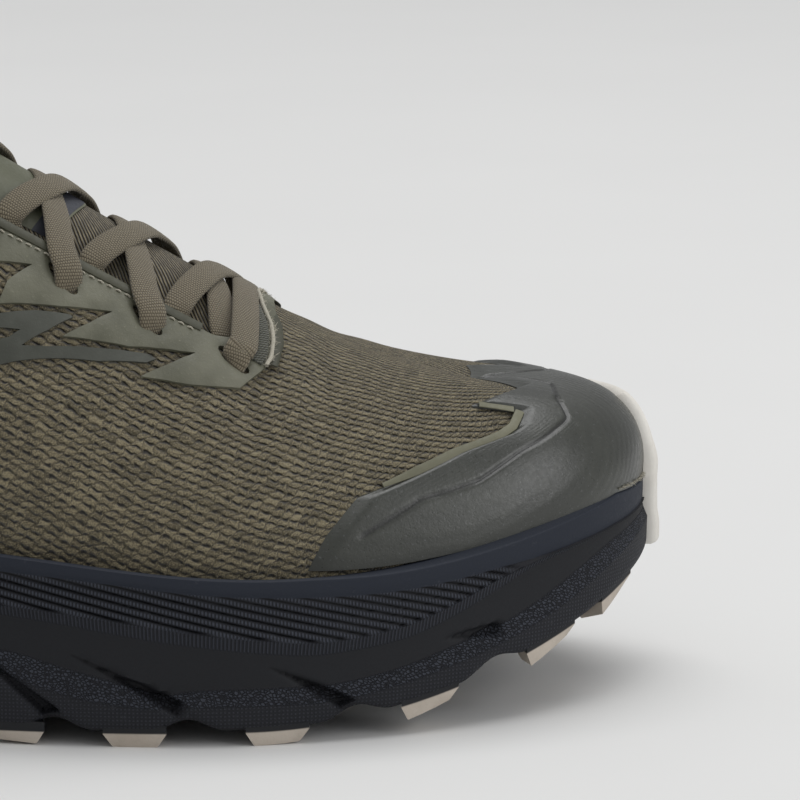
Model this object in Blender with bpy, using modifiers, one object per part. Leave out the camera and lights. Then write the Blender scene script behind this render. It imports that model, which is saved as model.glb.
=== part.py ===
"""Trail running shoe for the right foot, modelled at real size as an assembly of separate pieces.

Metres, +Z up, toe towards +X, inner (medial) side towards +Y, standing on the floor at z = 0.
Every surface is worked out from one form, a last with sections from heel to toe. A place on the
form is its ring position, which runs from the heel along the outer side to the toe and back along
the inner side, and its sweep, the angle up the section from the edge of the footbed to the ridge.
"""

import math

import bmesh
import bpy
import numpy as np
from mathutils import Matrix, Vector

# Driving sizes of the last.
LAST_LENGTH = 0.282
BALL_WIDTH = 0.096
BED_HEIGHT = 0.030
RIDGE_HEIGHT = 0.060
CLEARANCE = 0.0003

# Driving sizes of the sole.
SOLE_FLARE = 0.0095
LIP_HEIGHT = 0.0078
LUG_HEIGHT = 0.0034
PLATE_THICKNESS = 0.0016
PLATE_INSET = 0.0035
RECESS_DEPTH = 0.0012
ROCKER_RUN = 0.082
ROCKER_RADIUS = 0.150
HEEL_ROCKER_START = 0.030
HEEL_ROCKER_RADIUS = 0.060
WAIST_PLACE = 0.125
WAIST_REACH = 0.045
WAIST_RISE = 0.0015
SCALLOP_DEPTH = 0.0024
SCALLOP_WIDTH = 0.0075
RIB_COUNT = 5
RIB_DEPTH = 0.0006
BUMPER_THICKNESS = 0.0026
BUMPER_HEIGHT = 0.0560
BUMPER_RING = (12.7, 14.2)
EDGE_LUG_LENGTH = 0.0125
EDGE_LUG_DEPTH = 0.0105
MIDDLE_LUG_SIZE = 0.0062

# Driving sizes of the upper and what lies on it.
UPPER_WALL = 0.0020
COLLAR_PADDING = 0.0050
OVERLAY_THICKNESS = 0.0007
OVERLAY_GAP = 0.0006
EYELET_COUNT = 6
EYELET_PITCH = 0.0173
EYELET_RADIUS = 0.0021
EYELET_INSET = 0.0055
EYELET_FRONT = 0.0060
TOE_LENGTH = 0.080
THROAT_FRONT = LAST_LENGTH - TOE_LENGTH
THROAT_TOP = 0.098
THROAT_NOSE = 0.012
THROAT_HALF_GAP_FRONT = 0.0250
THROAT_HALF_GAP_TOP = 0.0195
INSOLE_THICKNESS = 0.0045
TONGUE_THICKNESS = 0.0045
TONGUE_PADDING = 0.0040
TONGUE_OVERLAP = 0.006
TONGUE_CROWN = 0.0022
TONGUE_CROWN_RUN = 0.012
TONGUE_TOP_RING = 4.2
LACE_WIDTH = 0.0062
LACE_THICKNESS = 0.0014

# The last, a row for each section from heel to toe. along and ridge_along are shares of
# LAST_LENGTH. outer, inner, ridge_side, bulge and lean are shares of BALL_WIDTH. bed is a share of
# BED_HEIGHT, and ridge is the ridge's height over the floor as a share of RIDGE_HEIGHT above
# BED_HEIGHT. square is the section's exponent, 2 for an ellipse. belly is the height of the
# bulge as a share of RIDGE_HEIGHT, and flare is a share of SOLE_FLARE.
LAST_COLUMNS = ("along", "outer", "inner", "bed", "ridge_along", "ridge_side", "ridge",
                "square", "bulge", "belly", "lean", "flare")
LAST_ROWS = (
    (0.000, 0.000, 0.000, 1.26, 0.150, 0.00, 3.50, 5.0, 0.040, 0.42, 0.070, 1.10),
    (0.014, 0.155, 0.155, 1.25, 0.152, 0.00, 3.48, 5.0, 0.040, 0.42, 0.070, 1.08),
    (0.060, 0.275, 0.270, 1.23, 0.160, 0.00, 3.40, 4.9, 0.042, 0.42, 0.065, 1.04),
    (0.150, 0.335, 0.325, 1.21, 0.195, 0.00, 3.10, 4.4, 0.045, 0.42, 0.050, 1.00),
    (0.270, 0.350, 0.310, 1.17, 0.275, 0.00, 2.16, 3.4, 0.042, 0.40, 0.030, 1.00),
    (0.400, 0.388, 0.290, 1.11, 0.400, 0.00, 1.74, 2.4, 0.032, 0.34, 0.000, 0.95),
    (0.520, 0.455, 0.350, 1.04, 0.520, 0.01, 1.43, 2.0, 0.026, 0.26, 0.000, 0.97),
    (0.620, 0.497, 0.440, 0.93, 0.620, 0.02, 1.15, 1.9, 0.026, 0.20, 0.000, 1.00),
    (0.710, 0.495, 0.495, 0.86, 0.705, 0.03, 0.92, 1.9, 0.026, 0.18, 0.000, 1.00),
    (0.800, 0.440, 0.500, 0.88, 0.780, 0.04, 0.74, 2.1, 0.024, 0.18, 0.000, 0.92),
    (0.880, 0.350, 0.460, 1.01, 0.835, 0.05, 0.66, 2.5, 0.022, 0.18, 0.000, 0.78),
    (0.945, 0.225, 0.375, 1.17, 0.868, 0.06, 0.620, 3.6, 0.024, 0.18, 0.000, 0.62),
    (0.985, 0.070, 0.255, 1.28, 0.885, 0.06, 0.602, 4.6, 0.028, 0.18, 0.000, 0.51),
    (1.000, -0.095, 0.095, 1.33, 0.889, 0.06, 0.600, 4.8, 0.028, 0.18, 0.000, 0.47),
)
HALF_RING = len(LAST_ROWS) - 1
RING = 2 * HALF_RING

# The collar's top line: ring position from the heel, and height over the floor as a share of
# RIDGE_HEIGHT above BED_HEIGHT. Past its last row the throat's edge takes over.
COLLAR_ROWS = (
    (0.0, 1.38), (1.2, 1.33), (2.4, 1.10), (3.2, 0.97), (3.8, 1.02), (4.4, 1.26), (4.9, 1.60), (5.4, 2.3),
)

# Steps of the midsole's side, a row for each station along the last. The columns are heights
# between the sole's lower edge (0) and the lip (1): the tops of the pods, their ledge, the smooth
# band, the narrow ledge over it, and the rib band.
BAND_ROWS = (
    (0.00, 0.27, 0.36, 0.54, 0.60, 0.84),
    (0.25, 0.30, 0.38, 0.56, 0.62, 0.86),
    (0.50, 0.30, 0.37, 0.57, 0.63, 0.87),
    (0.70, 0.22, 0.27, 0.48, 0.55, 0.82),
    (0.85, 0.22, 0.32, 0.50, 0.55, 0.79),
    (0.93, 0.26, 0.44, 0.66, 0.70, 0.78),
    (1.00, 0.36, 0.55, 0.74, 0.77, 0.80),
)

# How far each step of the side stands out, as shares of the flare at its station.
SKIRT_OUT = 0.97
POD_OUT = 1.00
LEDGE_OUT = 0.80
SMOOTH_OUT = 0.74
NARROW_LEDGE_OUT = 0.86
RIB_TOP_OUT = 0.76
LIP_OUT = 0.80
LIP_THICKNESS = 0.0022
SKIRT_HEIGHT = 0.0016
CHEEK_INSET = 0.0022

# Gaps between the pods of the lower edge, and the lugs under the pods, as shares of LAST_LENGTH
# from the heel.
SCALLOPS = (0.043, 0.142, 0.241, 0.348, 0.457, 0.566, 0.663, 0.786, 0.890)
EDGE_LUGS = (0.095, 0.192, 0.295, 0.403, 0.530, 0.620, 0.724, 0.832, 0.922, 0.974)
MIDDLE_LUGS = (0.05, 0.14, 0.23, 0.32, 0.42, 0.50, 0.585, 0.67, 0.755, 0.84, 0.92)

# Rear edge of the toe cap on both sides: share of the sweep from the footbed to the ridge, and
# ring position from the heel.
CAP_ROWS = (
    (0.00, 8.30), (0.11, 8.45), (0.19, 8.60), (0.30, 8.90), (0.38, 9.50), (0.46, 10.30),
    (0.55, 10.65), (0.60, 10.35), (0.66, 10.65), (0.74, 11.20), (1.00, 11.40),
)

# The eyestay from the top of the throat to its front, one row for each pair of edge points. back is
# the distance behind the throat's front as a share of the throat's length, of the inner edge and
# of the outer one, and side is the outer edge's distance from the ridge line as a share of
# THROAT_HALF_GAP_FRONT.
EYESTAY_ROWS = (
    (0.971, 0.981, 1.10), (0.837, 0.837, 1.20), (0.692, 0.683, 1.30), (0.567, 0.558, 1.32),
    (0.471, 0.471, 1.36), (0.404, 0.390, 1.40), (0.327, 0.292, 1.22), (0.260, 0.237, 1.46),
    (0.183, 0.131, 1.28), (0.111, 0.087, 1.38), (0.062, 0.034, 1.30), (0.028, -0.014, 1.04),
    (0.010, -0.038, 0.72), (0.002, -0.053, 0.34), (0.000, -0.058, 0.00),
)


def closed_spline(points, at):
    """Smooth closed curve through the rows of points, one unit of the parameter per row.

    A uniform cubic B-spline whose control points are solved, with a Fourier transform, so that
    the curve passes through the rows.
    """
    count = len(points)
    response = (4 + 2 * np.cos(2 * np.pi * np.arange(count) / count)) / 6
    control = np.fft.ifft(np.fft.fft(points, axis=0) / response[:, None], axis=0).real
    first = np.floor(at).astype(int)
    t = (at - first)[..., None]
    return (
        (1 - t) ** 3 / 6 * control[(first - 1) % count]
        + (3 * t**3 - 6 * t**2 + 4) / 6 * control[first % count]
        + (-3 * t**3 + 3 * t**2 + 3 * t + 1) / 6 * control[(first + 1) % count]
        + t**3 / 6 * control[(first + 2) % count]
    )


def eased(rows, at):
    """Monotone cubic through the rows of a table, first column against the others."""
    table = np.asarray(rows, float)
    x, y = table[:, 0], table[:, 1:]
    step = np.diff(x)[:, None]
    slope = np.diff(y, axis=0) / step
    tangent = np.zeros_like(y)
    same_way = slope[:-1] * slope[1:] > 0
    mean = 2 * slope[:-1] * slope[1:] / np.where(same_way, slope[:-1] + slope[1:], 1)
    tangent[1:-1] = np.where(same_way, mean, 0)
    at = np.clip(at, x[0], x[-1])
    k = np.clip(np.searchsorted(x, at, side="right") - 1, 0, len(x) - 2)
    t = ((at - x[k]) / (x[k + 1] - x[k]))[..., None]
    h = step[k]
    return (
        y[k] * (2 * t**3 - 3 * t**2 + 1)
        + y[k + 1] * (3 * t**2 - 2 * t**3)
        + h * tangent[k] * (t**3 - 2 * t**2 + t)
        + h * tangent[k + 1] * (t**3 - t**2)
    )


def ring_table():
    """The last's rows as a closed ring: up the outer side to the toe, back along the inner side."""
    rows = [dict(zip(LAST_COLUMNS, row)) for row in LAST_ROWS]
    ring = [(row, -row["outer"]) for row in rows]
    ring += [(row, row["inner"]) for row in reversed(rows[1:-1])]
    keys = [key for key in LAST_COLUMNS if key not in ("outer", "inner")]
    return keys, np.array([[side] + [row[key] for key in keys] for row, side in ring])


RING_KEYS, RING_VALUES = ring_table()


def last_at(ring):
    """The last's section sizes, in metres where they are lengths, at the ring positions."""
    values = closed_spline(RING_VALUES, np.asarray(ring, float))
    found = dict(zip(RING_KEYS, np.moveaxis(values[..., 1:], -1, 0)))
    top = BED_HEIGHT + RIDGE_HEIGHT * found["ridge"]
    return dict(
        edge=np.stack([found["along"] * LAST_LENGTH, values[..., 0] * BALL_WIDTH], -1),
        ridge=np.stack([found["ridge_along"] * LAST_LENGTH, found["ridge_side"] * BALL_WIDTH], -1),
        bed=found["bed"] * BED_HEIGHT,
        top=top,
        square=found["square"],
        bulge=found["bulge"] * BALL_WIDTH,
        belly=found["belly"] * RIDGE_HEIGHT,
        lean=found["lean"] * BALL_WIDTH,
        flare=found["flare"] * SOLE_FLARE,
    )


def raw_form(ring, sweep):
    """Points of the last's surface. A section is a superellipse in the upright plane from the
    footbed's edge to the ridge, moved out by the bulge and in by the lean of the heel."""
    last = last_at(ring)
    to_ridge = last["ridge"] - last["edge"]
    reach = np.linalg.norm(to_ridge, axis=-1)
    power = last["square"]
    cosine, sine = np.cos(sweep), np.sin(sweep)
    radius = (np.abs(cosine) ** power + np.abs(sine) ** power) ** (-1 / power)
    rise = (last["top"] - last["bed"]) * radius * sine
    up = rise / last["belly"]
    outward = last["bulge"] * up * np.exp(1 - up) * cosine
    lean = last["lean"] * cosine * (rise / (1.3 * RIDGE_HEIGHT)) ** 2
    inward = reach * (1 - radius * cosine) - outward + lean
    plan = last["edge"] + to_ridge / reach[..., None] * inward[..., None]
    return np.concatenate([plan, (last["bed"] + rise)[..., None]], -1)


RIDGE_SWEEP = math.pi / 2


def outward_normals(ring, sweep):
    """Unit normals of the form. At the ridge both sides meet, so there the normal turns into the
    ridge line's own."""
    step = 0.01
    swept = np.clip(sweep, 0.02, RIDGE_SWEEP - 0.03)
    along = raw_form(ring + step, swept) - raw_form(ring - step, swept)
    up = raw_form(ring, swept + step) - raw_form(ring, swept - step)
    normal = np.cross(along, up)
    normal /= np.linalg.norm(normal, axis=-1, keepdims=True)
    half = np.clip(np.minimum(ring % RING, RING - ring % RING), 0.5, HALF_RING - 1.5)
    ahead, behind = last_at(half + 0.3), last_at(half - 0.3)
    slope = (ahead["top"] - behind["top"]) / (ahead["ridge"] - behind["ridge"])[..., 0]
    ridge_normal = np.stack([-slope, np.zeros_like(slope), np.ones_like(slope)], -1)
    ridge_normal /= np.linalg.norm(ridge_normal, axis=-1, keepdims=True)
    near = np.clip((sweep - RIDGE_SWEEP + 0.25) / 0.25, 0, 1)[..., None]
    near = near * near * (3 - 2 * near)
    mixed = normal * (1 - near) + ridge_normal * near
    return mixed / np.linalg.norm(mixed, axis=-1, keepdims=True)


def form(ring, sweep, out=0.0):
    """Points at a distance out from the last's surface, at ring positions and sweep angles."""
    ring, sweep, out = np.broadcast_arrays(
        np.asarray(ring, float), np.asarray(sweep, float), np.asarray(out, float))
    return raw_form(ring, sweep) + outward_normals(ring, sweep) * out[..., None]


def half_of(ring):
    """Distance round the ring from the heel, the same on both sides."""
    ring = np.asarray(ring, float) % RING
    return np.minimum(ring, RING - ring)


def sweep_at_rise(ring, height):
    """Sweep at which the form reaches a height over the floor."""
    last = last_at(ring)
    share = np.clip((height - last["bed"]) / (last["top"] - last["bed"]), 1e-6, 0.9999)
    return np.arctan((share ** -last["square"] - 1) ** (-1 / last["square"]))


def sweep_at_side(ring, distance):
    """Sweep at which the form is a distance from the ridge line, seen from above."""
    last = last_at(ring)
    reach = np.linalg.norm(last["ridge"] - last["edge"], axis=-1)
    share = np.clip(distance / reach, 1e-4, 0.999)
    return np.arctan((share ** -last["square"] - 1) ** (1 / last["square"]))


def throat_half_gap(along):
    """Half the throat's width, a taper with a round front end."""
    share = np.clip((along - THROAT_TOP) / (THROAT_FRONT - THROAT_TOP), -0.5, 1)
    straight = THROAT_HALF_GAP_TOP + (THROAT_HALF_GAP_FRONT - THROAT_HALF_GAP_TOP) * share
    past = np.clip((along - (THROAT_FRONT - THROAT_NOSE)) / THROAT_NOSE, 0, 1)
    return straight * (1 - past**2.5) ** (1 / 2.5)


def edge_sweep(ring):
    """Sweep of the upper's top edge: the ridge on the vamp, then the throat's edge and the collar."""
    half = half_of(ring)
    collar_height = BED_HEIGHT + RIDGE_HEIGHT * eased(COLLAR_ROWS, half)[..., 0]
    collar = sweep_at_rise(ring, collar_height)
    along = last_at(ring)["ridge"][..., 0]
    throat = np.where(along < THROAT_FRONT, sweep_at_side(ring, throat_half_gap(along)), RIDGE_SWEEP)
    blend = 0.05
    low = np.minimum(collar, throat)
    eased_edge = low - blend * np.log(np.exp((low - collar) / blend) + np.exp((low - throat) / blend))
    return np.where(along < THROAT_FRONT - 0.03, eased_edge, throat)


def plan_normal(ring):
    """Unit outward normals of the footbed's outline, seen from above."""
    step = 0.02
    along = last_at(ring + step)["edge"] - last_at(ring - step)["edge"]
    along /= np.linalg.norm(along, axis=-1, keepdims=True)
    return np.stack([along[..., 1], -along[..., 0]], -1)


def rocker(along):
    """Rise of the sole's lower side over the floor: arcs at the toe and heel, and the waist's rise."""
    toe = np.clip(along - (LAST_LENGTH - ROCKER_RUN), 0, None) ** 2 / (2 * ROCKER_RADIUS)
    heel = np.clip(HEEL_ROCKER_START - along, 0, None) ** 2 / (2 * HEEL_ROCKER_RADIUS)
    waist = np.clip(1 - ((along - WAIST_PLACE) / WAIST_REACH) ** 2, 0, 1)
    return toe + heel + WAIST_RISE * waist * waist


def scallop(along):
    """Rise of the lower edge between the pods."""
    rise = np.zeros_like(along)
    for place in SCALLOPS:
        near = np.clip(1 - np.abs(along - place * LAST_LENGTH) / SCALLOP_WIDTH, 0, 1)
        rise += SCALLOP_DEPTH * near * near * (3 - 2 * near)
    return rise


def side_ring(ring, out, share, cut=0.0):
    """A ring of the midsole's side: out is a share of the flare, share the height between the
    sole's lower edge and the lip, cut how much of the scallops it follows."""
    last = last_at(ring)
    plan = last["edge"] + plan_normal(ring) * (last["flare"] * out)[..., None]
    low = LUG_HEIGHT + rocker(plan[..., 0])
    height = low + (last["bed"] + LIP_HEIGHT - low) * share + cut * scallop(plan[..., 0])
    return np.concatenate([plan, height[..., None]], -1)


def stations(*extra):
    """Ring positions from heel to toe on one side, closer where the outline turns."""
    base = np.concatenate([np.linspace(0, 2, 6), np.linspace(2.5, 11, 22), np.linspace(11.4, HALF_RING, 6)])
    kept = [u for u in base if all(abs(u - e) > 0.09 for e in extra)]
    return np.array(sorted(kept + list(extra)))


def both_sides(half):
    """A closed ring from the positions of one side, heel and toe once each."""
    return np.concatenate([half, (RING - half[1:-1])[::-1]])


def half_at_along(along, column="edge"):
    """Ring position on the outer side where the edge or the ridge is at a distance from the heel."""
    dense = np.linspace(0, HALF_RING, 1301)
    return np.interp(along, last_at(dense)[column][:, 0], dense)


def half_near(along, steps):
    """Ring positions on the outer side at steps of length along the edge from a place on it."""
    dense = np.linspace(0, HALF_RING, 1301)
    edge = last_at(dense)["edge"]
    run = np.append(0, np.cumsum(np.linalg.norm(np.diff(edge, axis=0), axis=1)))
    return np.interp(np.interp(along, edge[:, 0], run) + steps, run, dense)


def material(name, colour, roughness):
    made = bpy.data.materials.new(name)
    made.use_nodes = True
    shader = made.node_tree.nodes["Principled BSDF"]
    shader.inputs["Base Color"].default_value = (*colour, 1.0)
    shader.inputs["Roughness"].default_value = roughness
    made.diffuse_color = (*colour, 1.0)
    return made


def add_object(name, points, faces, finish, collection, closed=True):
    """A mesh object from points and faces, its doubles merged and its normals made to agree."""
    mesh = bpy.data.meshes.new(name)
    work = bmesh.new()
    vertices = [work.verts.new(p) for p in points]
    for face in faces:
        corners = [vertices[i] for i in dict.fromkeys(face)]
        if len(corners) > 2:
            work.faces.new(corners)
    bmesh.ops.remove_doubles(work, verts=work.verts, dist=2e-5)
    bmesh.ops.dissolve_degenerate(work, edges=work.edges, dist=1e-5)
    bmesh.ops.recalc_face_normals(work, faces=work.faces)
    work.to_mesh(mesh)
    work.free()
    made = bpy.data.objects.new(name, mesh)
    made.data.materials.append(finish)
    collection.objects.link(made)
    if closed:
        made.data.shade_smooth()
        made.data.set_sharp_from_angle(angle=math.radians(35))
    return made


def grid_faces(rows, columns, wrap):
    """Quads of a grid of rows by columns, the columns closed into a ring where wrap is set."""
    last = columns if wrap else columns - 1
    return [
        (r * columns + c, r * columns + (c + 1) % columns,
         (r + 1) * columns + (c + 1) % columns, (r + 1) * columns + c)
        for r in range(rows - 1) for c in range(last)
    ]


def loft(name, rings, finish, collection):
    """Closed solid through rings of points, its two ends closed by strips from side to side."""
    count = len(rings[0])
    points = np.concatenate(rings)
    faces = grid_faces(len(rings), count, True)
    for base in (0, (len(rings) - 1) * count):
        faces += [
            (base + i, base + i + 1, base + (count - i - 1) % count, base + (count - i) % count)
            for i in range(count // 2)
        ]
    return add_object(name, points, faces, finish, collection)


def solidify(made, thickness, offset, group=None):
    wall = made.modifiers.new("wall", "SOLIDIFY")
    wall.thickness = thickness
    wall.offset = offset
    if group:
        wall.vertex_group = group
    return wall


def face_outwards(made, inside):
    """Turns an open surface's faces away from a point inside it."""
    work = bmesh.new()
    work.from_mesh(made.data)
    leaning = sum((f.calc_center_median() - Vector(inside)).dot(f.normal) * f.calc_area() for f in work.faces)
    if leaning < 0:
        bmesh.ops.reverse_faces(work, faces=work.faces)
    work.to_mesh(made.data)
    work.free()


def subtract(target, cutter):
    cut = target.modifiers.new("cut " + cutter.name, "BOOLEAN")
    cut.operation = "DIFFERENCE"
    cut.object = cutter
    return cut


def collar_fade(half):
    """Share of the collar's padding, whole round the heel and none at the top of the throat."""
    share = np.clip((4.7 - half) / 0.9, 0, 1)
    return share * share * (3 - 2 * share)


def build_upper(finish, collection):
    """Hollow upper: an open surface over the last with a wall, padded inwards round the collar."""
    nose = [THROAT_FRONT - d for d in (0.0, 0.0004, 0.0016, 0.004, 0.0075, 0.012)]
    front = [float(half_at_along(along, "ridge")) for along in nose]
    ring = both_sides(stations(*front))
    top = edge_sweep(ring)
    top[half_of(ring) > front[0] - 1e-6] = RIDGE_SWEEP
    low = sweep_at_rise(ring, last_at(ring)["bed"] + CLEARANCE)
    rows = 8
    share = np.linspace(0, 1, rows)[:, None]
    points = form(ring[None, :], low + (top - low) * share)
    made = add_object("upper", points.reshape(-1, 3), grid_faces(rows, len(ring), True), finish, collection)
    face_outwards(made, (LAST_LENGTH / 2, 0, BED_HEIGHT))
    thin = UPPER_WALL / (UPPER_WALL + COLLAR_PADDING)
    group = made.vertex_groups.new(name="wall")
    half = half_of(ring)
    fade = collar_fade(half)[None, :]
    pad = np.clip((share - 0.45) / 0.4, 0, 1)
    weight = thin + (1 - thin) * (pad * pad * (3 - 2 * pad)) * fade
    flat = points.reshape(-1, 3)
    lookup = {tuple(np.round(p, 4)): w for p, w in zip(flat, weight.reshape(-1))}
    for vertex in made.data.vertices:
        near = lookup.get(tuple(np.round(np.array(vertex.co), 4)), thin)
        group.add([vertex.index], float(near), "REPLACE")
    solidify(made, UPPER_WALL + COLLAR_PADDING, -1, "wall")
    return made


def build_midsole(finish, collection):
    """Midsole with the steps and ribs of its side, the lip round the upper, the footbed, and the
    recess for the outsole's plate."""
    ring = both_sides(stations())
    along = last_at(ring)["edge"][..., 0]
    bands = eased(BAND_ROWS, along / LAST_LENGTH)
    pods, ledge, smooth, narrow, ribs = bands.T
    last = last_at(ring)
    plan = last["edge"] + plan_normal(ring) * (last["flare"] * SKIRT_OUT)[..., None]
    low = LUG_HEIGHT + rocker(plan[..., 0])
    inset = last["edge"] + plan_normal(ring) * (last["flare"] * SKIRT_OUT - PLATE_INSET)[..., None]
    floor = LUG_HEIGHT + rocker(inset[..., 0])
    roof = np.concatenate([inset, (floor + RECESS_DEPTH)[..., None]], -1)
    step = np.concatenate([inset, floor[..., None]], -1)
    skirt = SKIRT_HEIGHT / (last["bed"] + LIP_HEIGHT - low)
    rings = [roof, step, side_ring(ring, SKIRT_OUT - 0.12, 0, 1), side_ring(ring, SKIRT_OUT, skirt, 1)]
    rings += [side_ring(ring, POD_OUT, pods), side_ring(ring, LEDGE_OUT, ledge)]
    rings += [side_ring(ring, SMOOTH_OUT, smooth), side_ring(ring, NARROW_LEDGE_OUT, narrow)]
    for level in range(1, RIB_COUNT + 1):
        share = level / RIB_COUNT
        out = NARROW_LEDGE_OUT + (RIB_TOP_OUT - NARROW_LEDGE_OUT) * share
        height = narrow + (ribs - narrow) * share
        rings.append(side_ring(ring, out - RIB_DEPTH / SOLE_FLARE * (level % 2), height))
    lip = last["bed"] + LIP_HEIGHT
    for out, drop in ((LIP_OUT, 0.72), (LIP_OUT, 0.25), (LIP_OUT - 0.06, 0.0)):
        made = side_ring(ring, out, 1)
        made[:, 2] = lip - drop * (1 - ribs) * (lip - low)
        rings.append(made)
    for share in (1.0, 0.5, 0.0):
        inner = form(ring, sweep_at_rise(ring, last["bed"] + LIP_HEIGHT * share), CLEARANCE)
        rings.append(inner)
    return loft("midsole", rings, finish, collection)


def build_insole(finish, collection):
    ring = both_sides(stations())
    bed = last_at(ring)["bed"]
    rings = []
    for height, extra in ((0, 0.0012), (0.25, 0.0005), (0.8, 0.0004), (1, 0.0014)):
        rise = CLEARANCE + INSOLE_THICKNESS * height
        sweep = sweep_at_rise(ring, bed + 2 * CLEARANCE + rise)
        shell = form(ring, sweep, -UPPER_WALL - 5 * CLEARANCE - extra)
        shell[:, 2] = bed + rise
        rings.append(shell)
    return loft("insole", rings, finish, collection)


def throat_strip(half, side, sweep, out):
    """Points over the throat from the outer side's sweep across the ridge to the inner side's."""
    ring = np.where(side < 0, half, RING - half)
    return form(ring, sweep, out)


def build_tongue(finish, collection):
    """Tongue: a pad that follows the arch between the throat's edges and tucks under them."""
    front = float(half_at_along(THROAT_FRONT + TONGUE_OVERLAP + 0.002, "ridge"))
    half = np.linspace(front, TONGUE_TOP_RING, 15)
    across = np.linspace(-1, 1, 15)
    along = last_at(half)["ridge"][:, 0]
    wide = np.maximum(throat_half_gap(along) + TONGUE_OVERLAP, THROAT_HALF_GAP_FRONT + TONGUE_OVERLAP)
    points = np.zeros((len(half), len(across), 3))
    for j, place in enumerate(across):
        sweep = sweep_at_side(half, wide * abs(place)) if place else np.full(len(half), RIDGE_SWEEP)
        inside = np.minimum(throat_half_gap(along) - wide * abs(place), THROAT_FRONT - along)
        crown = np.clip((inside - TONGUE_CROWN) / TONGUE_CROWN_RUN, 0, 1)
        crown = crown * crown * (3 - 2 * crown)
        out = -UPPER_WALL - 3 * CLEARANCE + TONGUE_CROWN * crown
        out -= 1.2 * COLLAR_PADDING * collar_fade(half - 0.35)
        points[:, j] = throat_strip(half, np.full(len(half), -1 if place < 0 else 1), sweep, out)
    made = add_object("tongue", points.reshape(-1, 3), grid_faces(len(half), len(across), False),
                      finish, collection)
    face_outwards(made, (LAST_LENGTH / 2, 0, BED_HEIGHT))
    group = made.vertex_groups.new(name="wall")
    full = TONGUE_THICKNESS + TONGUE_PADDING
    for vertex in made.data.vertices:
        i, j = divmod(vertex.index, len(across))
        top = min(max((5.4 - half[i]) / 0.7, 0), 1)
        edge = 1 - abs(across[j]) ** 4 * 0.65
        tip = 0.55 if i == len(half) - 1 else 1
        weight = (TONGUE_THICKNESS + TONGUE_PADDING * top) * edge * tip / full
        group.add([vertex.index], weight, "REPLACE")
    solidify(made, full, -1, "wall")
    return made


def on_top(along, side, out):
    """Points of the form seen from above: distance along the ridge line, and distance to its side,
    minus for the outer side."""
    along, side = np.broadcast_arrays(np.asarray(along, float), np.asarray(side, float))
    half = half_at_along(along, "ridge")
    sweep = np.where(side == 0, RIDGE_SWEEP, sweep_at_side(half, np.abs(side)))
    return form(np.where(side > 0, RING - half, half), sweep, out)


def build_toe_cap(finish, collection):
    """Toe cap: the part of the form in front of its rear edge, over the lip."""
    rows, columns = 12, 25
    share = np.linspace(0, 1, rows)[:, None] ** 0.9
    place = np.linspace(-1, 1, columns)[None, :]
    rear = eased(CAP_ROWS, np.clip(share[:, 0], 0, 1))[:, 0][:, None]
    ring = HALF_RING + place * (HALF_RING - rear)
    low = sweep_at_rise(ring, last_at(ring)["bed"] + LIP_HEIGHT + CLEARANCE)
    sweep = low + (RIDGE_SWEEP - low) * share
    points = form(ring, sweep, OVERLAY_GAP)
    made = add_object("toe_cap", points.reshape(-1, 3), grid_faces(rows, columns, False), finish, collection)
    face_outwards(made, (0.9 * LAST_LENGTH, 0, BED_HEIGHT))
    solidify(made, OVERLAY_THICKNESS, 1)
    return made


def build_eyestay(finish, collection):
    """Eyestay round the throat, from its edge to the outer edge of the table."""
    length = THROAT_FRONT - THROAT_TOP
    table = np.array(EYESTAY_ROWS)
    inner_along = THROAT_FRONT - table[:, 0] * length
    inner_side = throat_half_gap(inner_along) + CLEARANCE * (table[:, 2] > 0)
    outer_along = THROAT_FRONT - table[:, 1] * length
    outer_side = table[:, 2] * THROAT_HALF_GAP_FRONT
    along = np.stack([inner_along, outer_along], 1)
    side = np.stack([-inner_side, -outer_side], 1)
    along = np.concatenate([along, along[-2::-1]])
    side = np.concatenate([side, -side[-2::-1]])
    across = np.linspace(0, 1, 5)[None, :]
    points = on_top(along[:, :1] + (along[:, 1:] - along[:, :1]) * across,
                    side[:, :1] + (side[:, 1:] - side[:, :1]) * across, OVERLAY_GAP)
    count = len(along)
    made = add_object("eyestay", points.reshape(-1, 3), grid_faces(count, 5, False), finish, collection)
    face_outwards(made, (THROAT_TOP, 0, BED_HEIGHT))
    solidify(made, OVERLAY_THICKNESS, 1)
    return made


def eyelet_places():
    """Distances along and to the side of the ridge line, from the throat's front upwards."""
    along = THROAT_FRONT - EYELET_FRONT - EYELET_PITCH * np.arange(EYELET_COUNT)
    straight = np.minimum(along, THROAT_FRONT - THROAT_NOSE)
    return along, throat_half_gap(straight) + EYELET_INSET


def build_eyelet_cutter(collection):
    """Pins through the eyestay and the upper, square to the form."""
    along, side = eyelet_places()
    work = bmesh.new()
    for sign in (-1, 1):
        for a, s in zip(along, side):
            outer, inner = on_top(a, sign * s, 0.004), on_top(a, sign * s, -0.004)
            axis = Vector(outer - inner)
            turn = axis.to_track_quat("Z", "Y").to_matrix().to_4x4()
            place = Matrix.Translation(Vector((outer + inner) / 2)) @ turn
            bmesh.ops.create_cone(work, cap_ends=True, segments=10, radius1=EYELET_RADIUS,
                                  radius2=EYELET_RADIUS, depth=axis.length, matrix=place)
    mesh = bpy.data.meshes.new("eyelet_pins")
    work.to_mesh(mesh)
    work.free()
    made = bpy.data.objects.new("eyelet_pins", mesh)
    collection.objects.link(made)
    hide(made)
    return made


def hide(made):
    made.hide_render = True
    made.display_type = "WIRE"


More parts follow.
